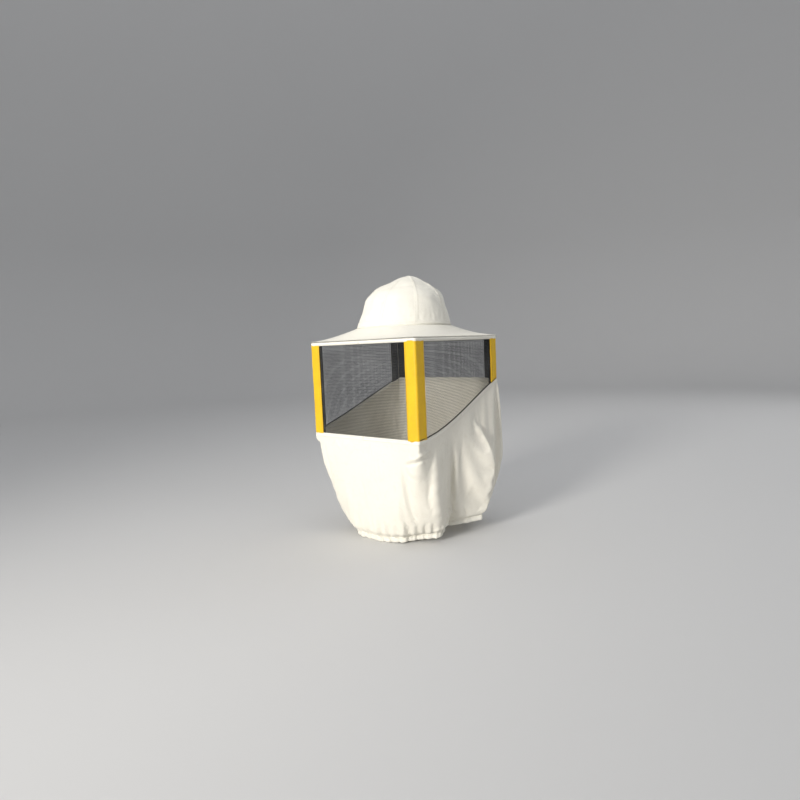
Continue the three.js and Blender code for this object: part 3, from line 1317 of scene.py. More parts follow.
@dataclass
class CornerTapes(SubAssembly):
    """Yellow tapes outside and black tapes inside, folded round the box's corners."""

    outer_width: float = 22.5 * MM
    inner_width: float = 26 * MM
    outer_face: float = 4.6 * MM
    outer_back: float = 3.3 * MM
    inner_face: float = 1.2 * MM
    inner_back: float = 0.05 * MM
    top_drop: float = 4 * MM
    tuck: float = 2 * MM
    step: float = 3 * MM
    rows: int = 60
    waviness: float = 0.35 * MM

    def build(self) -> None:
        """Builds the tapes of every corner."""
        for stretch in stretches(self.veil, self.outer_width):
            yellow = self.finishes.yellow
            self.strip(stretch, "yellow_tape", self.outer_back, self.outer_face, yellow, "outer")
            self.sew(stretch)
        for stretch in stretches(self.veil, self.inner_width):
            self.strip(stretch, "black_tape", self.inner_back, self.inner_face, self.finishes.black, "inner")

    def surface(self, stretch: Stretch, out: float) -> Array:
        """One face of a tape; an outer tape lies slightly unevenly.

        Args:
            stretch: the part of the outline it covers.
            out: distance outwards from the hinge plane.

        Returns:
            Rows by stations by 3.
        """
        spots = stretch.stations(self.veil, self.step)
        share = np.linspace(0, 1, self.rows)[:, None]
        top = self.veil.rim_z - self.top_drop
        grid = spots.points(out, top + (spots.edge[None, :] - self.tuck - top) * share)
        if out > self.inner_face:
            lift = np.abs(soft_noise(grid, 40 * MM, 5) * self.waviness)
            grid[..., :2] += spots.normal * lift[..., None]
        return grid

    def strip(
        self, stretch: Stretch, name: str, back: float, face: float, material: Material, kind: str
    ) -> None:
        """Builds one folded tape.

        Args:
            stretch: the part of the outline it covers.
            name: start of its name.
            back: distance of its inner face from the hinge plane.
            face: distance of its outer face from the hinge plane.
            material: its material.
            kind: outer or inner, as in the names of its CAD nodes.
        """
        obj = cloth_shell(f"{name}_{stretch.name}", self.surface(stretch, face), self.surface(stretch, back))
        dress(obj, material)
        stretch.attach(obj, self.veil)
        for side, low, high in stretch.legs:
            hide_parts(side.node(f"{kind}_tape_{2 if low + high > 0 else 1}"))
        LOG.info("%s at %s", name, stretch.name)

    def sew(self, stretch: Stretch) -> None:
        """Sews the yellow tape along its two edges.

        Args:
            stretch: the part of the outline it covers.
        """
        grid = self.surface(stretch, self.outer_face + self.stitching.lift)
        lines = [grid[2:-2, 1], grid[2:-2, -2]]
        name = f"tape_stitches_{stretch.name}"
        sewn = self.stitching.sew(name, lines, self.finishes.yellow_thread, "yellow_tape")
        stretch.attach(sewn, self.veil)


@dataclass
class Bindings(SubAssembly):
    """Cotton bindings round the brim's edge and along the mesh's lower edge, with dark piping."""

    top_height: float = 7.5 * MM
    bottom_height: float = 9 * MM
    thickness: float = 5.6 * MM
    middle_out: float = 2.4 * MM
    lap: float = 0.5 * MM
    step: float = 4 * MM
    section_points: int = 14
    squareness: float = 0.65
    pucker: float = 0.3 * MM
    top_row: float = -1.2 * MM
    bottom_row: float = 1.6 * MM
    piping_radius: float = 1.3 * MM
    piping_out: float = 3.9 * MM
    piping_rise: float = 1.2 * MM
    end_gap: float = 0.3 * MM

    def build(self) -> None:
        """Builds both rings of binding and the piping."""
        for stretch in stretches(self.veil, self.veil.hinge):
            spots = stretch.stations(self.veil, self.step)
            top = np.full(len(spots.edge), self.veil.rim_z - self.top_height / 2 + self.lap)
            bottom = spots.edge - self.bottom_height / 2 + self.lap
            self.strip(stretch, spots, "brim_edge_binding", "top_binding", top, self.top_height)
            self.strip(stretch, spots, "lower_edge_binding", "bottom_binding", bottom, self.bottom_height)
            face = self.middle_out + self.thickness / 2 + self.stitching.lift
            lines = [spots.points(face, z) for z in (top + self.top_row, bottom + self.bottom_row)]
            name = f"binding_stitches_{stretch.name}"
            sewn = self.stitching.sew(name, lines, self.finishes.white_thread, "binding")
            stretch.attach(sewn, self.veil)
        for side in (Side.LEFT, Side.RIGHT):
            self.piping(side)

    def piping(self, side: Side) -> None:
        """Builds the dark cord along a sloping lower edge.

        Args:
            side: the side that it is on.
        """
        reach = self.veil.hinge - self.end_gap
        stretch = Stretch(side.value, ((side, -reach, reach),))
        spots = stretch.stations(self.veil, self.step)
        turn = circle(8)
        z = spots.edge[:, None] + self.piping_rise + self.piping_radius * np.sin(turn)
        rings = spots.rings(self.piping_out + self.piping_radius * np.cos(turn), z)
        obj = swept_strip(f"edge_piping_{side.value}", rings)
        dress(obj, self.finishes.black)
        stretch.attach(obj, self.veil)

    def strip(
        self, stretch: Stretch, spots: Stations, name: str, node: str, middle: Array, height: float
    ) -> None:
        """Builds one length of rounded binding.

        Args:
            stretch: the part of the outline it covers.
            spots: the stretch's stations.
            name: start of its name.
            node: end of the names of its CAD nodes.
            middle: height of its middle at each station.
            height: its own height.
        """
        turn = circle(self.section_points)
        out = self.middle_out + self.thickness / 2 * boxed(np.cos(turn), self.squareness)
        up = height / 2 * boxed(np.sin(turn), self.squareness)
        rings = spots.rings(out, middle[:, None] + up[None, :])
        swell = soft_noise(rings, 14 * MM, 11) * self.pucker
        rings[..., :2] += spots.normal[:, None, :] * (swell * np.sign(np.cos(turn))[None, :])[..., None]
        obj = swept_strip(f"{name}_{stretch.name}", rings)
        dress(obj, self.finishes.binding)
        stretch.attach(obj, self.veil)
        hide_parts(*stretch.nodes(node))
        LOG.info("%s at %s", name, stretch.name)


@dataclass
class Brim(SubAssembly):
    """The brim's four quarters, from the square edge up to the round crown."""

    thickness: float = 2.5 * MM
    lap: float = 3 * MM
    edge_gap: float = 0.2 * MM
    curve: float = 1.5
    columns: int = 61
    rows: int = 34
    keep: float = 0.22
    ripple: float = 0.9 * MM
    corner_crease: float = 0.3 * MM
    crease_width: float = 0.035
    corner_rounding: float = 0.09
    stitch_rows: tuple[float, ...] = (0.045, 0.93)
    stitch_lift: float = 0.15 * MM
    seam_share: float = 1.06

    def build(self) -> None:
        """Builds every quarter."""
        for side in Side:
            self.quarter(side)

    def from_corner(self) -> Array:
        """Each column's distance from the nearer corner, as a share of the quarter's width."""
        u = np.linspace(0, 1, self.columns)
        return np.minimum(u, 1 - u)

    def surface(self, side: Side, lift: float) -> Array:
        """One face of a quarter.

        Args:
            side: the side it belongs to.
            lift: height of the face above the rim, at its outer edge.

        Returns:
            Rows by columns by 3, from the crown outwards.
        """
        inner = self.veil.crown_radius - self.lap
        half = self.veil.half - self.edge_gap
        u = np.linspace(0, 1, self.columns)
        v = np.linspace(1, 0, self.rows)[:, None]
        angle = (-0.75 + 0.5 * u) * math.pi
        x = (2 * u - 1) * half * (1 - v) + inner * np.cos(angle) * v
        y = -half * (1 - v) + inner * np.sin(angle) * v
        rise = self.veil.crown_base_z - self.veil.rim_z - self.thickness
        world = side.place(stack(x, y, self.veil.rim_z + lift + rise * v**self.curve))
        free = np.sin(np.pi * v) * np.ones_like(u)
        world[..., 2] += soft_noise(world * [1, 1, 0], 90 * MM, 21) * self.ripple * free
        world[..., 2] += bump(self.from_corner(), self.crease_width) * self.corner_crease * free
        return world

    def soft_normals(self, side: Side, top: Array) -> Array:
        """Normals of the top face, rounded over where the next quarter goes on.

        Args:
            side: the side it belongs to.
            top: the face.

        Returns:
            One normal for each point.
        """
        normals = grid_normals(top, False)
        turned = np.where(np.linspace(0, 1, self.columns) < 0.5, 1.0, -1.0) * math.sqrt(0.5)
        across = side.place(stack(np.abs(turned), -turned, 0.0))
        lean = (normals * across).sum(-1) * bump(self.from_corner(), self.corner_rounding)
        return unit(normals - lean[..., None] * across)

    def quarter(self, side: Side) -> None:
        """Builds one quarter with its stitches.

        Args:
            side: the side it belongs to.
        """
        top, under = self.surface(side, self.thickness), self.surface(side, 0)
        obj = cloth_shell(f"{side.value}_brim_cloth", top, under, normals=self.soft_normals(side, top))
        dress(obj, self.finishes.brim)
        rows = [round((1 - share) * (self.rows - 1)) for share in self.stitch_rows]
        lines = [top[row] + [0, 0, self.stitch_lift] for row in rows]
        name = f"{side.value}_brim_stitches"
        sewn = self.stitching.sew(name, lines, self.finishes.white_thread, "brim_cotton")
        for piece in (obj, sewn):
            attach(piece, side.body)
            flatten(piece, side, self.veil, self.keep)
        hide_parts(side.node("brim"))
        LOG.info("brim quarter %s", side.value)


@dataclass
class Crown(SubAssembly):
    """The gored hat crown with its band and sweatband.

    Attributes:
        lean: how far the peak stands off the middle, to the right and to the back.
        flatness: how flat each gore is between its seams, 0 for a round crown.
        smooth_roof: shares of the slope between which the dents begin.
        smooth_base: shares of the slope between which the dents end.
    """

    shoulder_radius: float = 85 * MM
    shoulder_rise: float = 73 * MM
    rounding: float = 0.24
    fullness: float = 3 * MM
    peak_radius: float = 0.3 * MM
    base_tuck: float = 1.5 * MM
    gores: int = 8
    seam_turn: float = math.radians(10)
    seam_width: float = 1.6 * MM
    seam_height: float = 0.9 * MM
    seam_sink: float = 0.15 * MM
    flatness: float = 0.85
    lean: tuple[float, float] = (12 * MM, 10 * MM)
    thickness: float = 1.6 * MM
    dent: float = 2.2 * MM
    smooth_roof: tuple[float, float] = (0.08, 0.4)
    smooth_base: tuple[float, float] = (0.7, 0.9)
    pucker: float = 0.55 * MM
    band_thickness: float = 2.4 * MM
    sweatband_thickness: float = 2 * MM
    sweatband_gap: float = 3 * MM
    columns: int = 192
    rows: int = 80
    keep: float = 0.28
    cut_share: float = 0.55

    def build(self) -> None:
        """Builds crown, band and sweatband."""
        outer, inner = self.surface(0), self.surface(self.thickness)
        slope = running(steps(outer).mean(1))
        uv = stack(circle(self.columns)[None, :] * self.shoulder_radius, slope[:, None])
        crown = cloth_shell("crown_cloth", outer, inner, closed=True, uv=uv)
        dress(crown, self.finishes.crown)
        thread = self.finishes.white_thread
        seams = self.stitching.sew("crown_stitches", self.seam_lines(), thread, "cotton")
        band = self.ring("hat_band_cloth", *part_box("hat_band"), self.band_thickness)
        dress(band, self.finishes.brim)
        low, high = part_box("sweatband")
        high = high - Vector((self.sweatband_gap, 0, 0))
        sweat = self.ring("sweatband_cloth", low, high, self.sweatband_thickness)
        dress(sweat, self.finishes.sweatband)
        for piece in (crown, seams, band, sweat):
            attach(piece, "root")
            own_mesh(piece)
        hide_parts(*(f"crown_gore_{k}" for k in range(1, self.gores + 1)))
        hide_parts("hat_band")
        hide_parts("sweatband")
        slant = float(steps(outer).sum(0).mean())
        LOG.info("crown, band and sweatband")

    def profile(self, share: Array) -> tuple[Array, Array]:
        """The crown's outline.

        Args:
            share: share of the way from the peak down to the base.

        Returns:
            Radius and height at each share.
        """
        base_z = self.veil.crown_base_z
        peak = np.array([self.peak_radius, self.veil.crown_top_z])
        shoulder = np.array([self.shoulder_radius, base_z + self.shoulder_rise])
        base = np.array([self.veil.crown_radius, base_z - self.base_tuck])
        near, far = (shoulder + (end - shoulder) * self.rounding for end in (peak, base))
        t = np.linspace(0, 1, 25)[:, None]
        bend = (1 - t) ** 2 * near + 2 * t * (1 - t) * shoulder + t**2 * far
        climb = np.linspace(0, 1, 13)[:-1, None]
        away = np.array([near[1] - peak[1], peak[0] - near[0]])
        away = -away / np.linalg.norm(away) * self.fullness
        roof = peak + (near - peak) * climb + away * np.sin(np.pi * climb) ** 0.8
        line = np.concatenate([roof, bend, [base]])
        run = running(steps(line))
        place = share * run[-1]
        return np.interp(place, run, line[:, 0]), np.interp(place, run, line[:, 1])

    def surface(self, depth: float) -> Array:
        """One face of the crown.

        Args:
            depth: how far the face is set in from the outer one.

        Returns:
            Rows by columns by 3, from the peak down.
        """
        v = np.linspace(0, 1, self.rows)
        radius, z = self.profile(v)
        angle = circle(self.columns) + self.seam_turn
        half = math.pi / self.gores
        part = np.mod(angle - self.seam_turn, 2 * half)
        flat = math.cos(half) / np.cos(part - half)
        bulge = 1 + 0.35 * (1 - flat)
        reach = self.flatness * (1 - smooth_step(0.45, 0.8, v)) * smooth_step(0, 0.15, v)
        seam = bump(np.minimum(part, 2 * half - part)[None, :] * radius[:, None], self.seam_width)
        r = radius[:, None] * (1 + (flat * bulge - 1) * reach[:, None])
        away = 1 - v[:, None]
        grid = stack(r * np.cos(angle), r * np.sin(angle), z[:, None])
        grid[..., 0] += self.lean[0] * away
        grid[..., 1] += self.lean[1] * away
        normal = -grid_normals(grid, True)
        normal *= np.sign((normal * grid * [1, 1, 0]).sum(-1).mean())
        free = smooth_step(*self.smooth_roof, v)[:, None] * (1 - smooth_step(*self.smooth_base, v))[:, None]
        push = soft_noise(grid, 70 * MM, 31) * self.dent * free
        push += soft_noise(grid, 24 * MM, 32) * self.dent * 0.24 * free
        sewn = smooth_step(0.72, 0.95, v)[:, None] * (1 - smooth_step(0.985, 1.0, v))[:, None]
        push += soft_noise(grid * [1, 1, 0.35], 11 * MM, 33) * self.pucker * sewn
        push += seam * self.seam_height * smooth_step(0.03, 0.1, v)[:, None]
        return grid + normal * (push - depth * smooth_step(0, 0.03, v)[:, None])[..., None]

    def seam_lines(self) -> list[Array]:
        """Rows of stitches.

        Returns:
            Lines beside each seam, and one round the base.
        """
        grid = self.surface(-self.seam_sink)
        step = self.columns // self.gores
        beside = [(seam * step + side) % self.columns for seam in range(self.gores) for side in (-1, 1)]
        lines = [grid[self.rows // 4:-3, column] for column in beside]
        return [*lines, np.concatenate([grid[-4], grid[-4][:1]])]

    def ring(self, name: str, low: Vector, high: Vector, thickness: float) -> Piece:
        """Builds a soft band where a CAD ring is.

        Args:
            name: the piece's name.
            low: low corner of the ring's box.
            high: high corner of the ring's box.
            thickness: thickness of the cloth.

        Returns:
            The piece.
        """
        angle = circle(self.columns)
        v = np.linspace(0, 1, 9)[:, None]
        edge = (1 - (2 * v - 1) ** 6) * 0.5 * MM
        tilt = (high.z - low.z) * 0.37
        radius = high.x - tilt * (1 - v) + edge + 0 * angle
        outer = stack(radius * np.cos(angle), radius * np.sin(angle), high.z + (low.z - high.z) * v)
        outer[..., 2] += soft_noise(outer, 50 * MM, 41) * 0.4 * MM
        inner = outer.copy()
        inner[..., :2] *= ((radius - thickness) / radius)[..., None]
        return cloth_shell(name, outer, inner, closed=True)


@dataclass(frozen=True)
class Fold:
    """A large fold of the skirt.

    Attributes:
        angle: its direction about +Z, in degrees.
        width: its half width, in degrees.
        push: how far it stands out, in millimetres, or in where negative.
        start: share of the wall's height, from the top, where it begins.
        lean: change of its direction from top to hem, in degrees.
        growth: share of the height over which it grows.
    """

    angle: float
    width: float
    push: float
    start: float = 0.3
    lean: float = 0.0
    growth: float = 0.42

    def at(self, angle: Array, share: Array) -> Array:
        """Push of the fold.

        Args:
            angle: directions, in radians.
            share: shares of the height.

        Returns:
            How far the wall is pushed at each.
        """
        away = np.degrees(angle) - self.angle - self.lean * (share - 1)
        away = (away + 180) % 360 - 180
        grown = smooth_step(self.start, self.start + self.growth, share)
        return self.push * MM * bump(away, self.width) * grown


FOLDS = (
    Fold(-112, 9, 3, 0.5),
    Fold(-135, 12, 7, 0.0),
    Fold(-74, 7, -3, 0.6, 6),
    Fold(-46, 9, -9, 0.05),
    Fold(-27, 6, 12, 0.15, 7),
    Fold(-5, 11, -36, 0.12, 4),
    Fold(17, 4, 18, 0.0, 4),
    Fold(30, 5, -10, 0.45, -14),
    Fold(44, 8, 7, 0.3, -8),
    Fold(64, 8, -10, 0.4, 5),
    Fold(88, 9, 6, 0.4),
    Fold(112, 8, -9, 0.35, -6),
    Fold(138, 9, 5, 0.4, 4),
    Fold(163, 8, -8, 0.4, 8),
    Fold(188, 8, 5, 0.45),
    Fold(210, 7, -6, 0.5, -6),
)


@dataclass(frozen=True)
class Crease:
    """A short sharp crease that runs across the wall, with a lip of the same cloth above it.

    Attributes:
        start: direction in degrees and height of one end.
        end: direction in degrees and height of the other end.
        width: its half width, in millimetres.
        push: how far it stands out, in millimetres, or in where negative.
        radius: the wall's radius, to measure along it.
    """

    start: tuple[float, float]
    end: tuple[float, float]
    width: float
    push: float
    radius: float = 0.16

    def at(self, angle: Array, z: Array) -> Array:
        """Push of the crease.

        Args:
            angle: directions, in radians.
            z: heights.

        Returns:
            How far the wall is pushed at each.
        """
        x = np.radians((np.degrees(angle) - self.start[0] + 180) % 360 - 180) * self.radius
        y = z - self.start[1]
        run_x = math.radians(self.end[0] - self.start[0]) * self.radius
        run_y = self.end[1] - self.start[1]
        length = math.hypot(run_x, run_y)
        along = (x * run_x + y * run_y) / length**2
        side = (y * run_x - x * run_y) / length
        width = self.width * MM
        fade = smooth_step(-0.15, 0.25, along) * (1 - smooth_step(0.6, 1.15, along))
        return self.push * MM * fade * (bump(side, width) - 0.7 * bump(side - 1.9 * width, 1.4 * width))


CREASES = (
    Crease((-57, -0.298), (-30, -0.274), 3.8, -5.5),
    Crease((-57, -0.318), (-38, -0.335), 4.5, -2.6),
    Crease((-44, -0.262), (-14, -0.240), 6, -3),
    Crease((24, -0.330), (40, -0.290), 6, -5),
    Crease((-120, -0.280), (-96, -0.272), 6, -2.5),
    Crease((118, -0.240), (146, -0.200), 6, -4),
    Crease((206, -0.290), (232, -0.262), 5, -4),
)
COTTON = {
    "quality": 5,
    "mass": 0.12,
    "tension_stiffness": 12,
    "compression_stiffness": 12,
    "shear_stiffness": 4,
    "bending_stiffness": 0.35,
    "tension_damping": 8,
    "compression_damping": 8,
    "shear_damping": 8,
    "air_damping": 2,
    "pin_stiffness": 1.0,
}


@dataclass
class Skirt(SubAssembly):
    """The cotton skirt that hangs from the mesh's lower edge, gathered at its hem.

    The wall is simulated as cloth that is cut wider than its hem, sewn on along its top
    and drawn together at the bottom.

    Attributes:
        wall_slope: share of the narrowing that is spread evenly down the wall.
        rounding: smoothing passes that round the wall's corners below its top.
        fullness: extra width of the cut at the hem, as a share.
        rear_fullness: the same, added at the rear left corner.
        goal: how strongly the simulation holds the wall to its start.
        spread: handed to each stretch when a piece is attached.
        keep: handed to flatten for the pieces beside the open corner.
    """

    per_side: int = 56
    rows: int = 58
    top_inset: float = 1.2 * MM
    top_lap: float = 3 * MM
    hem_inset: float = 1 * MM
    wall_bow: float = 6 * MM
    rear_bow: float = 35 * MM
    wall_slope: float = 0.88
    rounding: int = 22
    fullness: float = 0.13
    rear_fullness: float = 0.10
    gather_count: int = 46
    gather_depth: float = 3.2 * MM
    hem_draw: float = 7 * MM
    thickness: float = 1.1 * MM
    frames: int = 26
    goal: float = 0.07
    spread: float = 35 * MM
    keep: float = 0.25
    casing_height: float = 13 * MM
    casing_depth: float = 7.5 * MM
    casing_out: float = 1.5 * MM
    casing_rise: float = 2.5 * MM
    casing_points: int = 18
    stitch_lift: float = 0.2 * MM

    def build(self) -> None:
        """Builds the wall and its hem, cut into a piece for each corner."""
        target, cut = self.target(), self.cut()
        grid = refine(self.settle(target, cut))
        normals = grid_normals(grid, True)
        rest, casing = refine(cut), self.casing(grid[-1])
        count = grid.shape[1]
        for stretch, first, last in self.parts(count // 4):
            columns = np.arange(first, last + 1) % count
            self.wall(stretch, grid[:, columns], rest[:, columns], normals[:, columns])
            self.hem(stretch, casing[columns])

    def parts(self, side: int) -> list[tuple[Stretch, int, int]]:
        """Cuts the wall into pieces.

        Args:
            side: columns on each side of the box.

        Returns:
            Each piece's stretch with its first and last column.
        """
        order = list(Side)
        made = []
        for stretch in stretches(self.veil, self.veil.hinge):
            start = order.index(stretch.legs[0][0]) * side
            first = start if stretch.open_end < 0 else start + side // 2
            made.append((stretch, first, first + (side // 2 if stretch.open_end else side)))
        return made

    def rearness(self, angle: Array) -> Array:
        """How strongly a direction is the rear left corner's."""
        return np.maximum(0, np.cos(angle - math.pi / 4)) ** 2

    def base(self, fullness: Callable[[Array, Array], Array]) -> tuple[Array, Array, Array]:
        """The wall's smooth form.

        Args:
            fullness: share by which the wall is wider, from direction and height share.

        Returns:
            The grid, each column's hem direction, and each row's share of the height.
        """
        u = np.arange(self.per_side) / self.per_side
        v = np.linspace(0, 1, self.rows)[:, None]
        half = self.veil.half - self.top_inset
        columns, angles = [], []
        for side in Side:
            world = (-0.75 + 0.5 * u) * math.pi + side.turn
            x = (2 * u - 1) * half
            top = self.veil.edges[side].binding_end(x) + self.top_lap
            outline = side.place(stack(x, -half, top))
            heading = np.angle(np.exp(1j * world))
            radius = self.veil.hem.at(heading, self.veil.hem.radius) - self.hem_inset
            low = self.veil.hem.at(heading, self.veil.hem.top)
            drawn = (self.wall_slope * v + (1 - self.wall_slope) * v**6)[..., None]
            direction = stack(np.cos(world), np.sin(world))
            flat = outline[None, :, :2] * (1 - drawn) + (direction * radius[:, None])[None] * drawn
            bow = (self.wall_bow + self.rear_bow * self.rearness(world)) * np.sin(np.pi * v)
            flat = (flat + direction[None] * bow[..., None]) * (1 + fullness(world, v))[..., None]
            columns.append(np.concatenate([flat, (top + (low - top) * v)[..., None]], -1))
            angles.append(world)
        grid = np.concatenate(columns, 1)
        for row, passes in enumerate((self.rounding * smooth_step(0.02, 0.45, v[:, 0])).astype(int)):
            for _ in range(passes):
                beside = np.roll(grid[row], 1, 0) + np.roll(grid[row], -1, 0)
                grid[row] = 0.5 * grid[row] + 0.25 * beside
        return grid, np.concatenate(angles), v

    def target(self) -> Array:
        """The wall as it hangs, with its large folds and its gathers.

        Returns:
            Rows by columns by 3, from the top down.
        """
        grid, angle, v = self.base(lambda a, share: np.zeros_like(a) * share)
        direction = stack(np.cos(angle), np.sin(angle), 0.0)
        push = sum(fold.at(angle[None, :], v) for fold in FOLDS)
        wander = soft_noise(direction, 0.9, 51) * 1.1
        ripple = np.sin(angle * self.gather_count + wander * 2.2) + 0.6 * np.sin(angle * 29 + 1.3 + wander)
        near = smooth_step(0.72, 1.0, v) * (1 - 0.55 * smooth_step(0.9, 1.0, v))
        push = push + ripple[None, :] * self.gather_depth * near
        push = push + sum(crease.at(angle[None, :], grid[..., 2]) for crease in CREASES)
        swell = soft_noise(grid, 85 * MM, 52) * 2.8 * MM + soft_noise(grid, 34 * MM, 53) * 1.0 * MM
        push = push + swell * smooth_step(0.02, 0.3, v)
        push = push - self.hem_draw * smooth_step(0.93, 1.0, v)
        return grid + direction[None] * push[..., None]

    def cut(self) -> Array:
        """The wall as it was cut: wider than it hangs towards its hem.

        Returns:
            Rows by columns by 3, from the top down.
        """

        def fullness(angle: Array, share: Array) -> Array:
            """Share by which the wall is wider at a direction and height share."""
            return (self.fullness + self.rear_fullness * self.rearness(angle)) * share**1.4

        return self.base(fullness)[0]

    def settle(self, target: Array, cut: Array) -> Array:
        """Lets the cut cloth hang from its top and gather at its hem.

        Args:
            target: grid of the wall's intended lie, where the simulation starts.
            cut: grid with the lengths the cloth was cut to.

        Returns:
            The settled grid.
        """
        rows, columns = target.shape[:2]
        index = np.arange(rows * columns).reshape(rows, columns)
        right = np.roll(index, -1, 1)
        faces = np.stack([index[:-1], index[1:], right[1:], right[:-1]], -1).reshape(-1, 4).tolist()
        obj = new_object("skirt_simulation", target, faces)
        obj.shape_key_add(name="hung")
        key = obj.shape_key_add(name="cut")
        key.data.foreach_set("co", cut.astype(np.float32).ravel())
        key.value = 0.0
        held = obj.vertex_groups.new(name="held")
        held.add(index[0].tolist() + index[-1].tolist(), 1.0, "REPLACE")
        held.add(index[1:-1].ravel().tolist(), self.goal, "REPLACE")
        modifier = obj.modifiers.new("cloth", "CLOTH")
        for name, value in COTTON.items():
            setattr(modifier.settings, name, value)
        modifier.settings.vertex_group_mass = held.name
        modifier.settings.rest_shape_key = key
        modifier.collision_settings.use_self_collision = False
        modifier.point_cache.frame_start = 1
        modifier.point_cache.frame_end = self.frames
        scene = bpy.context.scene
        for number in range(1, self.frames + 1):
            scene.frame_set(number)
        hung = obj.evaluated_get(bpy.context.evaluated_depsgraph_get())
        settled = vertices(hung.to_mesh()).reshape(rows, columns, 3)
        hung.to_mesh_clear()
        scene.frame_set(1)
        data = obj.data
        bpy.data.objects.remove(obj)
        bpy.data.meshes.remove(data)
        moved = np.linalg.norm(settled - target, axis=-1) / MM
        LOG.info("skirt cloth moved %.1f mm on average, %.1f mm at most", moved.mean(), moved.max())
        return settled

    def hang(self, stretch: Stretch, obj: Piece) -> None:
        """Attaches a piece through its stretch, and gives a piece beside the open corner its own mesh.

        Args:
            stretch: the part of the outline it covers.
            obj: the piece.
        """
        stretch.attach(obj, self.veil, self.spread)
        if stretch.corner is None:
            flatten(obj, stretch.legs[0][0], self.veil, self.keep)

    def wall(self, stretch: Stretch, outer: Array, rest: Array, normals: Array) -> None:
        """Builds one piece of the wall and logs the size of its cut.

        Args:
            stretch: the part of the outline it covers.
            outer: its outer face.
            rest: the same cloth as it was cut.
            normals: normals of its outer face.
        """
        inner = outer - normals * self.thickness
        obj = cloth_shell(f"skirt_cloth_{stretch.name}", outer, inner, uv=cloth_uv(rest), normals=normals)
        dress(obj, self.finishes.skirt)
        self.hang(stretch, obj)
        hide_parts(*stretch.nodes("skirt"))
        width = float(steps(rest, 1).sum(1).max())
        length = float(steps(rest).sum(0).mean())
        LOG.info("skirt %s, cut %.0f by %.0f mm", stretch.name, width / MM, length / MM)

    def casing(self, line: Array) -> Array:
        """Sections of the hem's casing.

        Args:
            line: the wall's lower edge, all round.

        Returns:
            Columns by section points by 3.
        """
        out = unit(np.cross(np.roll(line, -1, 0) - np.roll(line, 1, 0), [0.0, 0.0, 1.0]))
        turn = circle(self.casing_points)
        angle = np.arctan2(line[:, 1], line[:, 0])
        pinch = 0.5 + 0.5 * np.sin(angle * self.gather_count * 2 + soft_noise(line, 60 * MM, 61) * 2.5)
        swell = (0.72 + 0.38 * pinch)[:, None]
        depth = self.casing_depth / 2 * boxed(np.cos(turn), 0.8) * swell
        fall = self.casing_height / 2 * boxed(np.sin(turn), 0.8) * (0.94 + 0.08 * pinch)[:, None]
        centre = line - out * (self.casing_depth / 2 - self.casing_out)
        centre[:, 2] -= self.casing_height / 2 - self.casing_rise
        rings = centre[:, None, :] + out[:, None, :] * depth[..., None]
        rings[..., 2] += fall
        return rings + (soft_noise(rings, 12 * MM, 62) * 0.35 * MM)[..., None] * out[:, None, :]

    def hem(self, stretch: Stretch, rings: Array) -> None:
        """Builds one piece of the gathered hem, with its stitches.

        Args:
            stretch: the part of the outline it covers.
            rings: its sections.
        """
        obj = swept_strip(f"hem_cloth_{stretch.name}", rings)
        dress(obj, self.finishes.binding)
        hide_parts(*stretch.nodes("hem_casing", "hem_elastic"))
        outward = unit(rings[:, 0] - rings[:, self.casing_points // 2])
        line = rings[:, self.casing_points // 10] + outward * self.stitch_lift
        name = f"hem_stitches_{stretch.name}"
        sewn = self.stitching.sew(name, [line], self.finishes.white_thread, "cotton")
        for piece in (obj, sewn):
            self.hang(stretch, piece)
        LOG.info("hem %s", stretch.name)


# ---------------------------------------------------------------- studio


@dataclass(frozen=True)
class Viewpoint:
    """The camera, in front of the veil's front left corner and a little above its middle.

    Attributes:
        azimuth: its direction about +Z, from the front, in degrees.
        elevation: its direction above the floor, in degrees.
        roll: its turn about its own axis, in degrees.
        distance: from the veil, in metres.
        sideways: shift to its right, in metres.
        height: shift upwards, in metres.
        lens: focal length, in millimetres on a sensor 36 mm wide.
    """

    azimuth: float = 40.449
    elevation: float = 5.299
    roll: float = -2.398
    distance: float = 1.32565
    sideways: float = -0.015936
    height: float = -0.182511
    lens: float = 25.976

    def build(self) -> None:
        """Adds the camera and makes it the scene's."""
        a, e, r = (math.radians(v) for v in (self.azimuth, self.elevation, self.roll))
        back = Vector((math.sin(a) * math.cos(e), -math.cos(a) * math.cos(e), math.sin(e)))
        right = Vector((math.cos(a), math.sin(a), 0))
        up = back.cross(right)
        across = right * math.cos(r) + up * math.sin(r)
        upright = up * math.cos(r) - right * math.sin(r)
        camera = bpy.data.cameras.new("camera")
        camera.lens, camera.sensor_width = self.lens, 36.0
        camera.clip_start, camera.clip_end = 0.01, 100.0
        obj = bpy.data.objects.new("camera", camera)
        turn = Matrix((across, upright, back)).transposed().to_4x4()
        place = back * self.distance + right * self.sideways + Vector((0, 0, self.height))
        obj.matrix_world = Matrix.Translation(place) @ turn
        bpy.context.scene.collection.objects.link(obj)
        bpy.context.scene.camera = obj


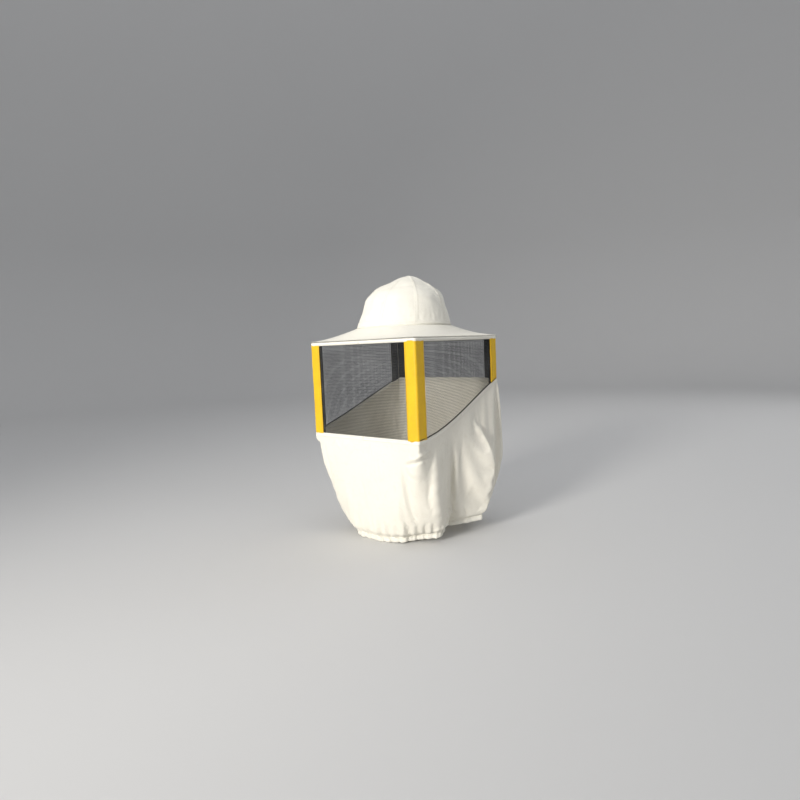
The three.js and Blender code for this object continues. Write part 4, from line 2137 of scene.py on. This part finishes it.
@dataclass(frozen=True)
class SoftLight:
    """A square area light that looks at the veil.

    Attributes:
        name: the light's name.
        place: where it stands, in metres.
        size: its width, in metres.
        power: in watts.
        colour: its colour.
        aim: the point it looks at.
        beam: full angle that it shines over, in degrees.
    """

    name: str
    place: tuple[float, float, float]
    size: float
    power: float
    colour: Colour = (1.0, 1.0, 1.0)
    aim: tuple[float, float, float] = (0.0, 0.0, -0.15)
    beam: float = 180.0

    def build(self) -> None:
        """Adds the light."""
        light = bpy.data.lights.new(self.name, "AREA")
        light.size, light.energy, light.color = self.size, self.power, self.colour
        light.spread = math.radians(self.beam)
        obj = bpy.data.objects.new(self.name, light)
        obj.location = self.place
        obj.rotation_euler = (Vector(self.aim) - Vector(self.place)).to_track_quat("-Z", "Y").to_euler()
        obj.visible_camera = False
        bpy.context.scene.collection.objects.link(obj)


@dataclass(frozen=True)
class Studio:
    """Plain pale floor that bends up into a wall all round, and soft light."""

    floor_colour: Colour = (0.66, 0.66, 0.66)
    floor_roughness: float = 0.85
    world_colour: Colour = (0.93, 0.94, 0.96)
    world_strength: float = 0.66
    floor_radius: float = 4.0
    bend_radius: float = 1.6
    wall_height: float = 6.0
    segments: int = 96
    lights: tuple[SoftLight, ...] = (
        SoftLight("key", (0.15, -2.8, 0.56), 0.7, 12.0, (1.0, 0.965, 0.91), beam=70.0),
        SoftLight("fill", (2.5, -0.2, 1.0), 1.6, 4.0, (0.93, 0.96, 1.0)),
        SoftLight("top", (0.0, 0.2, 2.6), 2.0, 7.0),
        SoftLight("rear", (0.9, 2.6, 1.4), 1.8, 10.0),
    )

    def build(self, floor_z: float) -> None:
        """Adds the floor, the surroundings and the lights.

        Args:
            floor_z: height of the floor.
        """
        self.floor(floor_z)
        world = bpy.data.worlds.new("studio")
        world.use_nodes = True
        background = world.node_tree.nodes["Background"]
        background.inputs["Color"].default_value = (*self.world_colour, 1.0)
        background.inputs["Strength"].default_value = self.world_strength
        bpy.context.scene.world = world
        bpy.context.scene.view_settings.view_transform = "Standard"
        for light in self.lights:
            light.build()

    def floor(self, floor_z: float) -> None:
        """Adds the floor, out of rings that widen from its middle.

        Args:
            floor_z: height of the floor.
        """
        count = self.segments
        turn = circle(count)
        bend = np.linspace(0, math.pi / 2, 16)
        flat = np.linspace(0.002, self.floor_radius, 8)[:-1]
        outermost = self.floor_radius + self.bend_radius
        radius = np.concatenate([flat, self.floor_radius + self.bend_radius * np.sin(bend), [outermost]])
        height = np.concatenate([0 * flat, self.bend_radius * (1 - np.cos(bend)), [self.wall_height]])
        height = height + floor_z
        rings = stack(radius[:, None] * np.cos(turn), radius[:, None] * np.sin(turn), height[:, None])
        faces = [tuple(range(count))]
        for row in range(len(radius) - 1):
            for c in range(count):
                a, b = row * count + c, row * count + (c + 1) % count
                faces.append((a, a + count, b + count, b))
        floor = new_object("floor", rings, faces)
        shade = {"Base Color": self.floor_colour, "Roughness": self.floor_roughness}
        floor.data.materials.append(MaterialWriter("studio_floor").finish(shade))
        floor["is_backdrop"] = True


@dataclass
class Veil:
    """The whole veil."""

    frame: VeilFrame = field(default_factory=VeilFrame.read)
    finishes: Finishes = field(default_factory=Finishes)
    stitching: Stitching = field(default_factory=lambda: Stitching(stitch_tree()))

    def build(self) -> None:
        """Builds every sub-assembly."""
        for kind in (MeshPanels, CornerTapes, Bindings, Brim, Crown, Skirt):
            kind(self.frame, self.finishes, self.stitching).build()


def main() -> None:
    """Builds the camera, the veil and the studio."""
    logging.basicConfig(level=logging.INFO, format="%(name)s: %(message)s")
    Viewpoint().build()
    Veil().build()
    Studio().build(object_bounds()[0].z)


if __name__ == "__main__":
    main()
